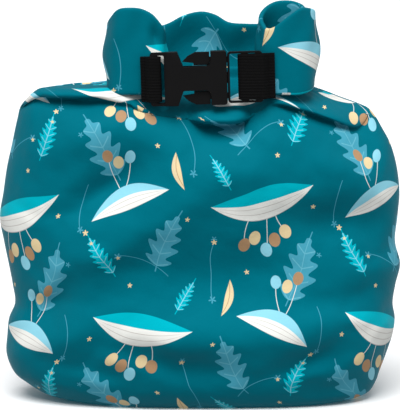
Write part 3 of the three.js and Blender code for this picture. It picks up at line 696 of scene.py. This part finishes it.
def pouch_points(turn, place, folded=True):
    """Points of the pouch's outside. turn runs around from the right, by the back, and place up the rows."""
    turn, place = np.broadcast_arrays(turn, place)

    def value(column):
        return smooth_value(POUCH_ROWS, column, place)

    roundness = 2 / value("power")
    cos = np.cos(turn)
    sin = np.sin(turn)
    shape_x = np.sign(cos) * np.abs(cos) ** roundness
    shape_y = np.sign(sin) * np.abs(sin) ** roundness
    left = value("left") * HALF_WIDTH
    right = value("right") * HALF_WIDTH
    front = value("front") * HALF_DEPTH
    back = value("back") * HALF_DEPTH
    x = (right - left) / 2 + shape_x * (right + left) / 2
    y = (back - front) / 2 + shape_y * (back + front) / 2
    z = value("height") * BODY_HEIGHT
    if not folded:
        return np.stack([x, y, z], -1)

    rise = z / BODY_HEIGHT
    inward = smooth_step(rise, 0.02, 0.12) * (1 - smooth_step(rise, 0.97, 1.0))
    front_share = smooth_step(-shape_y, 0.1, 0.6)
    back_share = smooth_step(shape_y, 0.1, 0.6)
    y = y - front_share * inward * fold_lift(FRONT_FOLDS + FINE_FRONT_FOLDS, x, z)
    y = y + back_share * inward * fold_lift(BACK_FOLDS + FINE_BACK_FOLDS, x, z)

    roll_place = place_of(ROLL_ROWS, "across", x / HALF_WIDTH)
    edges = smooth_step(np.abs(x / HALF_WIDTH), 1, 0.8)
    crease = smooth_value(ROLL_ROWS, "crease", roll_place)
    z = z + front_share * edges * value("follow") * (crease - CREASE_HEIGHT) * BODY_HEIGHT
    roll = value("roll")
    push = smooth_value(ROLL_ROWS, "push", roll_place)
    tuck = smooth_value(ROLL_ROWS, "tuck", roll_place)
    reach = np.maximum(np.where(roll > 0, push, tuck), 0) * HALF_DEPTH
    y = y - front_share * roll * reach
    return np.stack([x, y, z], -1)


BODY_COLUMNS = 264
BODY_STEPS = 150
BASE_STEPS = 9
BASE_REACH = HALF_DEPTH * 0.6  # how far the flat base reaches in, for its print
BACK_PANEL_SHIFT = 391.0  # the print's coordinate at the middle of the back
BODY_PRINT_RISE = -14.0


def even_places(turns, count):
    """Places up the rows that are evenly far apart on the surface, where it is longest."""
    fine = np.linspace(0, len(POUCH_ROWS) - 1, 900)
    points = pouch_points(turns[None, :], fine[:, None])
    length = np.concatenate([[0], np.cumsum(steps_between(points, 0).max(1))])
    return np.interp(np.linspace(0, length[-1], count), length, fine)


def flat_coordinates(points, plain):
    """Flat coordinates of the front and back panels: across from their middles, and up from the base."""
    middle = BODY_COLUMNS // 4
    across = np.concatenate([np.zeros((BODY_STEPS, 1)), np.cumsum(steps_between(plain, 1), 1)], 1)
    u_front = across - across[:, middle:middle + 1]
    u_back = BACK_PANEL_SHIFT - (across - across[:, 3 * middle:3 * middle + 1])
    v = np.concatenate([np.zeros((1, BODY_COLUMNS + 1)), np.cumsum(steps_between(points, 0), 0)], 0)
    for _ in range(30):
        v[:, 1:-1] = (v[:, :-2] + v[:, 1:-1] * 2 + v[:, 2:]) / 4
        v[:, 0] = v[:, -1] = (v[:, 1] + v[:, -2]) / 2
    return u_front, u_back, v


def body_stand_off(turn, rise, u, v):
    """How far the cloth stands out: unevenness, pleats that run into the neck, and sunken side seams."""
    off_seam = np.minimum(np.abs(np.sin(turn)) * HALF_DEPTH / 1.6, 30)
    calm = smooth_step(rise, 0.0, 0.08) * (1 - smooth_step(rise, 0.98, 1.02))
    uneven = 0.55 * ripple(u, v, 5, 30, 75) + 0.16 * ripple(u, v, 8, 9, 24)
    uneven *= smooth_step(off_seam, 2, 16) * calm
    pleat_turn = turn + 0.05 * np.sin(5 * turn + 1.0)
    pleats = np.cos(31 * pleat_turn) * (0.6 + 0.4 * np.sin(3 * turn + 0.7)) + 0.5 * np.cos(17 * turn + 2.0)
    at_neck = smooth_step(rise, 0.86, 0.99) * (1 - smooth_step(rise, 1.01, 1.04))
    at_back = smooth_step(np.sin(turn), -0.35, 0.25)
    pleats = pleats * at_neck * (0.25 + 0.75 * at_back) * 0.8
    seam = -0.8 * np.exp(-((np.sin(turn) * HALF_DEPTH * 0.95) / 1.5) ** 2) * smooth_step(rise, 0.01, 0.05)
    seam *= 1 - smooth_step(rise, 0.97, 1.0)
    return uneven + pleats + seam


def cloth_body():
    turns = 2 * np.pi * np.arange(BODY_COLUMNS + 1) / BODY_COLUMNS - np.pi
    places = even_places(turns[::11], BODY_STEPS)
    points = pouch_points(turns[None, :], places[:, None])
    plain = pouch_points(turns[None, :], places[:, None], folded=False)
    u_front, u_back, v = flat_coordinates(points, plain)

    ring = points[:, :-1]
    on_front = turns[None, :-1] < 1e-9
    u = np.where(on_front, u_front[:, :-1], u_back[:, :-1])
    stand_off = body_stand_off(turns[None, :-1], ring[..., 2] / BODY_HEIGHT, u, v[:, :-1])
    ring = ring + normals_of(ring) * stand_off[..., None]
    ring[..., 2] = np.maximum(ring[..., 2], 0)
    ring[0, :, 2] = 0

    # The flat base closes the bottom ring
    shares = [step / (BASE_STEPS + 1) for step in range(1, BASE_STEPS + 1)]
    centre = ring[0].mean(0)
    base = np.array([centre + (ring[0] - centre) * share for share in shares])
    rows = np.concatenate([base, ring], 0)
    points = np.concatenate([rows.reshape(-1, 3), centre[None]], 0)
    faces = ring_faces(len(rows), BODY_COLUMNS)
    last = len(points) - 1
    faces += [(last, (j + 1) % BODY_COLUMNS, j) for j in range(BODY_COLUMNS)]

    # The print's coordinates shrink to one point at the base's middle
    base_v = [np.full((1, BODY_COLUMNS + 1), (share - 1) * BASE_REACH) for share in shares]
    flat_v = np.concatenate(base_v + [v], 0) + BODY_PRINT_RISE
    flat_front = np.concatenate([u_front[:1] * share for share in shares] + [u_front], 0)
    back_base = [BACK_PANEL_SHIFT + (u_back[:1] - BACK_PANEL_SHIFT) * share for share in shares]
    flat_back = np.concatenate(back_base + [u_back], 0)
    half = BODY_COLUMNS // 2
    front = quad_corners(flat_front[:, :half + 1], flat_v[:, :half + 1])
    back = quad_corners(flat_back[:, half:], flat_v[:, half:])
    corners = np.concatenate([front, back], 1)
    uv = corners.reshape(-1, 2).tolist()
    for j in range(BODY_COLUMNS):
        uv += [(0, BODY_PRINT_RISE - BASE_REACH), corners[0, j, 1], corners[0, j, 0]]

    piece = mesh_object("cloth_body", points, faces, CLOTH, uv)
    solid = piece.modifiers.new("wall", "SOLIDIFY")
    solid.thickness = CLOTH_WALL * MM
    solid.offset = -1
    solid.use_rim = True
    return apply_modifiers(piece)


# The mouth band

BAND_COLUMNS = 300
BAND_SIDE_STEPS = 26
BAND_EDGE_STEPS = 6
BAND_PRINT_SHIFT = 23.0
BAND_PRINT_RISE = 246.0
DRAPE_DEPTH = 1.3
DRAPE_LENGTH = 33.0
EAR_WAVE_DEPTH = 0.8
EAR_WAVE_LENGTH = 21.0
EAR_GROOVE_RUN = 32.5  # how far along the band the groove at the left ear's curl is
EAR_GROOVE_DEPTH = 5.0
EAR_GROOVE_REACH = 3.6


def band_places(count):
    """Places up the band's table that are evenly far apart along the band, and how far along each is."""
    fine = np.linspace(0, len(BAND_ROWS) - 1, 1200)
    x = smooth_value(BAND_ROWS, "across", fine) * RING_HALF_WIDTH
    y = smooth_value(BAND_ROWS, "deep", fine) * RING_DEPTH
    length = np.concatenate([[0], np.cumsum(np.hypot(np.diff(x), np.diff(y)))])
    return np.interp(np.linspace(0, length[-1], count), length, fine), np.linspace(0, length[-1], count)


def band_section():
    """The section: up the outside, over the top edge, down the inside and under the lower edge.

    Each point of it is a share of the height, a height beyond that and a depth out from the middle.
    """
    half = BAND_THICKNESS / 2
    up = [(k / BAND_SIDE_STEPS, 0.0, half) for k in range(BAND_SIDE_STEPS + 1)]
    down = [(share, 0.0, -half) for share, _, _ in up[::-1]]
    angles = [math.pi * k / BAND_EDGE_STEPS for k in range(1, BAND_EDGE_STEPS)]
    over = [(1.0, half * math.sin(angle), half * math.cos(angle)) for angle in angles]
    under = [(0.0, -half * math.sin(angle), -half * math.cos(angle)) for angle in angles]
    return [column[:, None] for column in np.array(up + over + down + under).T]


def band_stand_off(away, along, up, share):
    """How far the band stands out from its path, by how far it is from the near walls and along the band."""
    bow = BAND_BULGE * BAND_HEIGHT * np.sin(np.pi * share) ** 2 * smooth_step(away, 4, 14)
    waves = 0.5 * ripple(along, up, 21, 26, 60) * np.sin(np.pi * share) ** 0.7 * smooth_step(away, 2, 10)
    drape = DRAPE_DEPTH * np.cos(2 * np.pi * (along - up * 0.25) / DRAPE_LENGTH + 0.8)
    drape = drape * smooth_step(share, 0.15, 0.9) * smooth_step(away, 14, 32)
    ear = EAR_WAVE_DEPTH * np.cos(2 * np.pi * (along + up * 0.3) / EAR_WAVE_LENGTH)
    groove = np.exp(-((along - EAR_GROOVE_RUN - (1 - share) * 4) / EAR_GROOVE_REACH) ** 2)
    groove = groove * (1 - 0.75 * smooth_step(share, 0.72, 1))
    near = smooth_step(away, 16, 4) * smooth_step(share, 0.45, 0.8)
    return bow + waves + drape + near * (ear - EAR_GROOVE_DEPTH * groove)


def round_band_ends(points, way_x, way_y, run, faces, uv):
    """Rounds both ends of the band, adds their faces and print coordinates and returns all the points."""
    sides = points.shape[1]
    every = [points.reshape(-1, 3)]
    first = BAND_COLUMNS * sides
    for end, sense in ((0, -1), (BAND_COLUMNS - 1, 1)):
        outward = sense * np.array([way_x[end], way_y[end], 0]) * BAND_THICKNESS / 2
        corner = (run[end] + BAND_PRINT_SHIFT, BAND_PRINT_RISE + 20.0)
        middle = points[end].mean(0)
        start = end * sides
        for width, bulge in ((0.85, 0.55), (0.45, 0.95)):
            shrink = np.array([width, width, 1 - (1 - width) * 0.04])
            every.append(middle + (points[end] - middle) * shrink + outward * bulge)
            for j in range(sides):
                quad = (start + j, start + (j + 1) % sides, first + (j + 1) % sides, first + j)
                faces.append(quad if sense > 0 else quad[::-1])
                uv += [corner] * 4
            start = first
            first += sides
        every.append((middle + outward)[None])
        for j in range(sides):
            face = (start + j, start + (j + 1) % sides, first)
            faces.append(face if sense > 0 else face[::-1])
            uv += [corner] * 3
        first += 1
    return np.concatenate(every, 0)


def cloth_band():
    places, run = band_places(BAND_COLUMNS)
    x = RING_CENTRE_X + smooth_value(BAND_ROWS, "across", places) * RING_HALF_WIDTH
    y = RING_NEAR_Y + smooth_value(BAND_ROWS, "deep", places) * RING_DEPTH
    low = BAND_BASE_Z + smooth_value(BAND_ROWS, "low", places) * BAND_HEIGHT
    high = BAND_BASE_Z + smooth_value(BAND_ROWS, "high", places) * BAND_HEIGHT
    way_x = np.gradient(x, run)
    way_y = np.gradient(y, run)
    size = np.hypot(way_x, way_y)
    way_x /= size
    way_y /= size

    share, extra, depth = band_section()
    up = share * (high - low)[None, :]
    along = np.broadcast_to(run[None, :], up.shape)
    puff = 1 + 0.16 * np.sin(np.pi * share)
    offset = band_stand_off((y - RING_NEAR_Y)[None, :], along, up, share) + depth * puff
    z = low[None, :] + BAND_THICKNESS / 2 + share * (high - low - BAND_THICKNESS)[None, :] + extra
    points = np.stack([x[None, :] - way_y[None, :] * offset, y[None, :] + way_x[None, :] * offset, z], -1)
    points = points.transpose(1, 0, 2)
    sides = points.shape[1]
    faces = ring_faces(BAND_COLUMNS, sides)

    # Print coordinates go up the outside, over the edge and down the inside
    lift = z.T - BAND_BASE_Z
    top = BAND_SIDE_STEPS + BAND_EDGE_STEPS // 2
    flat_v = np.where(np.arange(sides)[None, :] <= top, lift, 2 * lift[:, top:top + 1] - lift + 2)
    flat_v = np.concatenate([flat_v, flat_v[:, -1:] + 0.4], 1)
    corners = quad_corners(run[:, None] + BAND_PRINT_SHIFT, flat_v + BAND_PRINT_RISE)
    uv = corners.reshape(-1, 2).tolist()
    points = round_band_ends(points, way_x, way_y, run, faces, uv)
    return mesh_object("cloth_band", points, faces, CLOTH, uv)


# The buckle, in a frame of its own: x runs from the parting line towards the plug, y to the back and z up

BUCKLE_WIDTH = 29.4
SOCKET_LENGTH = 42.0
SOCKET_THICKNESS = 8.4
PLUG_LENGTH = 19.5
BAR_THICKNESS = 3.4
FIT_CLEARANCE = 0.4
BUCKLE_TILT_DEG = 1.7
PARTING_X = 14.8
BUCKLE_CENTRE_RISE = 6.2
WEBBING_WIDTH = 25.0
WEBBING_THICKNESS = 1.5
WEBBING_TAIL = 5.3

BUCKLE_HALF = BUCKLE_WIDTH / 2
BAR_WIDTH = 4.0
PLUG_BAR_X = PLUG_LENGTH * 0.415  # the plug's inner bar, which the webbing wraps
SLOT_HALF = WEBBING_WIDTH / 2 + 0.5
SOCKET_SLOT_WIDTH = 3.7
RING_LENGTH = SOCKET_LENGTH * 0.21
WINDOW_LENGTH = SOCKET_LENGTH * 0.36
WINDOW_FLOOR = BUCKLE_HALF * 0.45
PRONG_THICKNESS = SOCKET_THICKNESS * 0.45
CHANNEL_HALF = PRONG_THICKNESS / 2 + FIT_CLEARANCE
PLUG_HALF = BUCKLE_HALF * 0.955
WALL_FACE_Y = RING_NEAR_Y - BAND_THICKNESS / 2
BUCKLE_Y = WALL_FACE_Y - PIECE_GAP - SOCKET_THICKNESS / 2
BUCKLE_PLACE = (
    Matrix.Translation(Vector((PARTING_X, BUCKLE_Y, BODY_HEIGHT + BUCKLE_CENTRE_RISE)))
    @ Matrix.Rotation(math.radians(-BUCKLE_TILT_DEG), 4, "Y")
)


def prism(outline, thickness, axis):
    """A solid with this outline in x and z through y, or in x and y through z, about the middle."""
    mesh = bmesh.new()

    def at(a, b, c):
        return (a, c, b) if axis == "y" else (a, b, c)

    low = [mesh.verts.new(at(a, b, -thickness / 2)) for a, b in outline]
    high = [mesh.verts.new(at(a, b, thickness / 2)) for a, b in outline]
    mesh.faces.new(low)
    mesh.faces.new(high[::-1])
    count = len(outline)
    for i in range(count):
        j = (i + 1) % count
        mesh.faces.new((low[j], low[i], high[i], high[j]))
    bmesh.ops.recalc_face_normals(mesh, faces=mesh.faces)
    made = bpy.data.meshes.new("prism")
    mesh.to_mesh(made)
    mesh.free()
    return new_object("prism", made)


def combined(piece, other, operation):
    """piece after a boolean with other, which is used up."""
    modifier = piece.modifiers.new("cut", "BOOLEAN")
    modifier.operation = operation
    modifier.solver = "EXACT"
    modifier.object = other
    apply_modifiers(piece)
    bpy.data.objects.remove(other)
    return piece


def rounded_box(left, right, low, high, radius, steps=6):
    """The outline of a rectangle with round corners."""
    points = []
    for x, z, start in ((right - radius, low + radius, -90), (right - radius, high - radius, 0),
                        (left + radius, high - radius, 90), (left + radius, low + radius, 180)):
        for k in range(steps + 1):
            angle = math.radians(start + 90 * k / steps)
            points.append((x + radius * math.cos(angle), z + radius * math.sin(angle)))
    return points


def mirrored(points):
    """An outline turned over, from the upper half to the lower."""
    return [(x, -z) for x, z in points][::-1]


def moulded(piece, name, radius):
    """The piece in place, with its edges rounded."""
    piece.name = name
    piece.data.name = name
    piece.data.transform(BUCKLE_PLACE)
    piece.data.transform(Matrix.Scale(MM, 4))
    weld = piece.modifiers.new("weld", "WELD")
    weld.merge_threshold = 0.01 * MM
    edge = piece.modifiers.new("edge", "BEVEL")
    edge.width = radius * MM
    edge.segments = 3
    edge.limit_method = "ANGLE"
    edge.angle_limit = math.radians(28)
    edge.harden_normals = False
    apply_modifiers(piece)
    piece.data.materials.clear()
    piece.data.materials.append(PLASTIC)
    piece.data.polygons.foreach_set("use_smooth", [True] * len(piece.data.polygons))
    piece.data.set_sharp_from_angle(angle=math.radians(32))
    return piece


def buckle_socket():
    """The shell: a window on each edge, a slot and a bar for the webbing, and a channel for the prongs."""
    left = -SOCKET_LENGTH
    slot_end = left + BAR_WIDTH + SOCKET_SLOT_WIDTH
    window_left = -RING_LENGTH - WINDOW_LENGTH
    window = [
        (window_left - 3.4, BUCKLE_HALF + 1),
        (window_left, WINDOW_FLOOR),
        (-RING_LENGTH - 2.2, WINDOW_FLOOR),
        (-RING_LENGTH - 0.6, WINDOW_FLOOR + 1),
        (-RING_LENGTH, WINDOW_FLOOR + 3),
        (-RING_LENGTH, BUCKLE_HALF + 1),
    ]
    half = SOCKET_THICKNESS / 2
    thin = BAR_THICKNESS / 2
    side = [
        (left - 1, -thin),
        (left + BAR_WIDTH + 1, -thin),
        (slot_end + 1.5, -half * 0.86),
        (window_left, -half),
        (1, -half * 0.97),
        (1, half),
        (window_left, half),
        (slot_end + 1.5, half * 0.86),
        (left + BAR_WIDTH + 1, thin),
        (left - 1, thin),
    ]
    depth = RING_LENGTH + WINDOW_LENGTH + 4
    channel = [(-depth, -CHANNEL_HALF), (1, -CHANNEL_HALF), (1, CHANNEL_HALF), (-depth, CHANNEL_HALF)]
    piece = prism(rounded_box(left, 0, -BUCKLE_HALF, BUCKLE_HALF, 1.6), SOCKET_THICKNESS + 2, "y")
    combined(piece, prism(side, BUCKLE_WIDTH + 2, "z"), "INTERSECT")
    slot = rounded_box(left + BAR_WIDTH, slot_end, -SLOT_HALF, SLOT_HALF, 0.8)
    combined(piece, prism(slot, SOCKET_THICKNESS + 4, "y"), "DIFFERENCE")
    combined(piece, prism(window, SOCKET_THICKNESS + 4, "y"), "DIFFERENCE")
    combined(piece, prism(mirrored(window), SOCKET_THICKNESS + 4, "y"), "DIFFERENCE")
    combined(piece, prism(channel, 2 * (BUCKLE_HALF - 1.8), "z"), "DIFFERENCE")
    return moulded(piece, "socket_shell", 0.45)


def buckle_plug():
    """A frame with two bars, two springy prongs whose heads fill the windows, and a guide between them."""
    near = PIECE_GAP
    far = PLUG_LENGTH
    head_back = -RING_LENGTH - 0.6
    head_step = -RING_LENGTH - WINDOW_LENGTH * 0.62
    tip = -RING_LENGTH - WINDOW_LENGTH * 1.02
    stem_low = WINDOW_FLOOR + 1.7
    stem_high = stem_low + 3.2
    prong = [
        (near + 1, stem_low),
        (near + 1, stem_high),
        (head_back, stem_high),
        (head_back, BUCKLE_HALF - 0.4),
        (head_step + 1, BUCKLE_HALF - 0.4),
        (head_step - 3, BUCKLE_HALF - 2.4),
        (tip, WINDOW_FLOOR + 2.7),
        (head_step, WINDOW_FLOOR + 1.9),
        (head_step, WINDOW_FLOOR + 0.5),
        (head_back, WINDOW_FLOOR + 0.5),
        (head_back, stem_low),
    ]
    guide_half = WINDOW_FLOOR * 0.45
    guide = [
        (-SOCKET_LENGTH * 0.5, -guide_half + 1),
        (-SOCKET_LENGTH * 0.48, -guide_half),
        (near + 1, -guide_half),
    ]
    guide += mirrored(guide)
    frame_half = PRONG_THICKNESS * 0.62
    thin = BAR_THICKNESS / 2
    prong_half = PRONG_THICKNESS / 2
    side = [
        (-SOCKET_LENGTH, -prong_half),
        (near, -prong_half),
        (near, -frame_half),
        (near + 1.6, -frame_half),
        (PLUG_BAR_X - 1, -thin),
        (far + 1, -thin),
    ]
    side += mirrored(side)
    thick = SOCKET_THICKNESS
    piece = prism(rounded_box(near, far, -PLUG_HALF, PLUG_HALF, 1.8), thick, "y")
    for outline in (prong, mirrored(prong), guide):
        combined(piece, prism(outline, thick, "y"), "UNION")
    combined(piece, prism(side, BUCKLE_WIDTH + 2, "z"), "INTERSECT")
    for start, end in ((near + 1.2, PLUG_BAR_X), (PLUG_BAR_X + BAR_WIDTH * 0.8, far - BAR_WIDTH * 0.9)):
        slot = rounded_box(start, end, -SLOT_HALF, SLOT_HALF, 0.8)
        combined(piece, prism(slot, thick + 4, "y"), "DIFFERENCE")
    return moulded(piece, "plug_frame", 0.35)


# The webbing

def webbing_loop(name, bar_x, bar_end_x, end_x, back_y):
    """A strap that wraps a bar between bar_x and bar_end_x and is sewn flat against the band up to end_x."""
    way = math.copysign(1, end_x - bar_x)
    inner = BAR_THICKNESS / 2 + PIECE_GAP
    half = WEBBING_THICKNESS / 2
    middle = inner + half
    nose = 2 * PIECE_GAP + half
    join_x = bar_end_x + way * abs(end_x - bar_end_x) * 0.45
    tail_middle = back_y - WEBBING_THICKNESS
    route = [
        (end_x, tail_middle + half),
        (join_x, tail_middle + half),
        (bar_end_x, middle),
        (bar_x + way * middle * 0.3, middle),
        (bar_x - way * nose * 0.75, middle * 0.78),
        (bar_x - way * nose * 1.05, 0),
        (bar_x - way * nose * 0.75, -middle * 0.78),
        (bar_x + way * middle * 0.3, -middle),
        (bar_end_x, -middle),
        (join_x, tail_middle - half),
        (end_x, tail_middle - half),
    ]
    route = np.array(route)
    knots = np.concatenate([[0], np.cumsum(np.linalg.norm(np.diff(route, axis=0), axis=1))])
    samples = np.linspace(0, knots[-1], 90)
    line = np.stack([np.interp(samples, knots, route[:, k]) for k in (0, 1)], 1)
    for _ in range(3):
        line[1:-1] = (line[:-2] + 2 * line[1:-1] + line[2:]) / 4
    tangent = np.gradient(line, axis=0)
    tangent /= np.linalg.norm(tangent, axis=1, keepdims=True)
    side = np.stack([-tangent[:, 1], tangent[:, 0]], 1)

    # The strap's section: two flat faces with soft ribs, and rounded selvedges
    ribs = 16
    section = []
    steps = ribs * 4
    for k in range(steps + 1):
        z = (k / steps - 0.5) * (WEBBING_WIDTH - 1.0)
        section.append((z, half - 0.05 + 0.05 * math.cos(2 * math.pi * ribs * k / steps)))
    for k in range(1, 6):
        angle = math.pi * k / 6
        section.append((WEBBING_WIDTH / 2 - 0.5 + 0.5 * math.sin(angle), half * 0.94 * math.cos(angle)))
    section += [(-z, -depth) for z, depth in section]
    section = np.array(section)
    place = np.array(BUCKLE_PLACE)
    points = []
    for centre, out in zip(line, side):
        across = centre + out * section[:, 1:]
        points.append(np.column_stack([across, section[:, 0]]) @ place[:3, :3].T + place[:3, 3])
    count = len(section)
    faces = ring_faces(len(points), count)
    flat = np.concatenate(points, 0)
    last = (len(points) - 1) * count
    faces.append(tuple(range(count))[::-1])
    faces.append(tuple(range(last, last + count)))
    piece = mesh_object(name, flat, faces, WEBBING)
    mesh = bmesh.new()
    mesh.from_mesh(piece.data)
    bmesh.ops.recalc_face_normals(mesh, faces=mesh.faces)
    mesh.to_mesh(piece.data)
    mesh.free()
    piece.data.set_sharp_from_angle(angle=math.radians(50))
    return piece


# Assembly

body = cloth_body()
band = cloth_band()
socket = buckle_socket()
plug = buckle_plug()
tail_back = WALL_FACE_Y - PIECE_GAP - BUCKLE_Y
left_strap = webbing_loop("strap_left", -SOCKET_LENGTH + BAR_WIDTH, -SOCKET_LENGTH - PIECE_GAP,
                          -SOCKET_LENGTH - WEBBING_TAIL, tail_back)
right_strap = webbing_loop("strap_right", PLUG_BAR_X, PLUG_LENGTH + PIECE_GAP,
                           PLUG_LENGTH + WEBBING_TAIL * 1.3, tail_back)

for piece, node, slot in (
        (body, "bag_body", "printed_cloth"), (band, "mouth_band", "printed_cloth"),
        (socket, "buckle_socket", "buckle_plastic"), (plug, "buckle_plug", "buckle_plastic"),
        (left_strap, "webbing_left", "webbing"), (right_strap, "webbing_right", "webbing")):
    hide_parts(node)
    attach(piece, "root")


# The stage

FLOOR_HALF = 12.0
floor_mesh = bpy.data.meshes.new("floor")
floor_mesh.from_pydata(
    [(-FLOOR_HALF, -FLOOR_HALF, 0), (FLOOR_HALF, -FLOOR_HALF, 0), (FLOOR_HALF, FLOOR_HALF, 0),
     (-FLOOR_HALF, FLOOR_HALF, 0)], [], [(0, 1, 2, 3)])
floor_mesh.materials.append(floor_material())
floor = new_object("floor", floor_mesh)
floor.visible_diffuse = False  # the white floor doesn't flatten the folds with its own light

bpy.context.scene.view_settings.view_transform = "Standard"

world = bpy.data.worlds.new("studio")
bpy.context.scene.world = world
world.use_nodes = True
world.node_tree.nodes["Background"].inputs["Color"].default_value = (0.93, 0.97, 1.0, 1.0)
world.node_tree.nodes["Background"].inputs["Strength"].default_value = 0.4


def soft_light(name, place, strength, spread_deg):
    """A broad far light that shines from this direction."""
    light = bpy.data.lights.new(name, "SUN")
    light.energy = strength
    light.angle = math.radians(spread_deg)
    lamp = new_object(name, light)
    lamp.location = place
    lamp.rotation_euler = Vector(place).to_track_quat("Z", "Y").to_euler()


soft_light("key_light", (-0.1, -0.62, 1.0), 3.45, 40)
soft_light("low_light", (-0.1, -1.0, 0.02), 0.33, 60)
soft_light("rim_light", (0.9, -0.2, 0.9), 0.3, 60)

CAMERA_DISTANCE = 1.2
CAMERA_ELEVATION_DEG = 8.0
CAMERA_AIM = Vector((0, -0.03, 0.115))
FIELD_WIDTH = 0.2222  # what the picture's width takes in at the aim
SENSOR_WIDTH = 36.0
elevation = math.radians(CAMERA_ELEVATION_DEG)
camera_data = bpy.data.cameras.new("camera")
camera_data.sensor_fit = "HORIZONTAL"
camera_data.sensor_width = SENSOR_WIDTH
camera_data.lens = SENSOR_WIDTH * CAMERA_DISTANCE / FIELD_WIDTH
camera = new_object("camera", camera_data)
camera.location = CAMERA_AIM + CAMERA_DISTANCE * Vector((0, -math.cos(elevation), math.sin(elevation)))
camera.rotation_euler = (CAMERA_AIM - camera.location).to_track_quat("-Z", "Y").to_euler()
bpy.context.scene.camera = camera
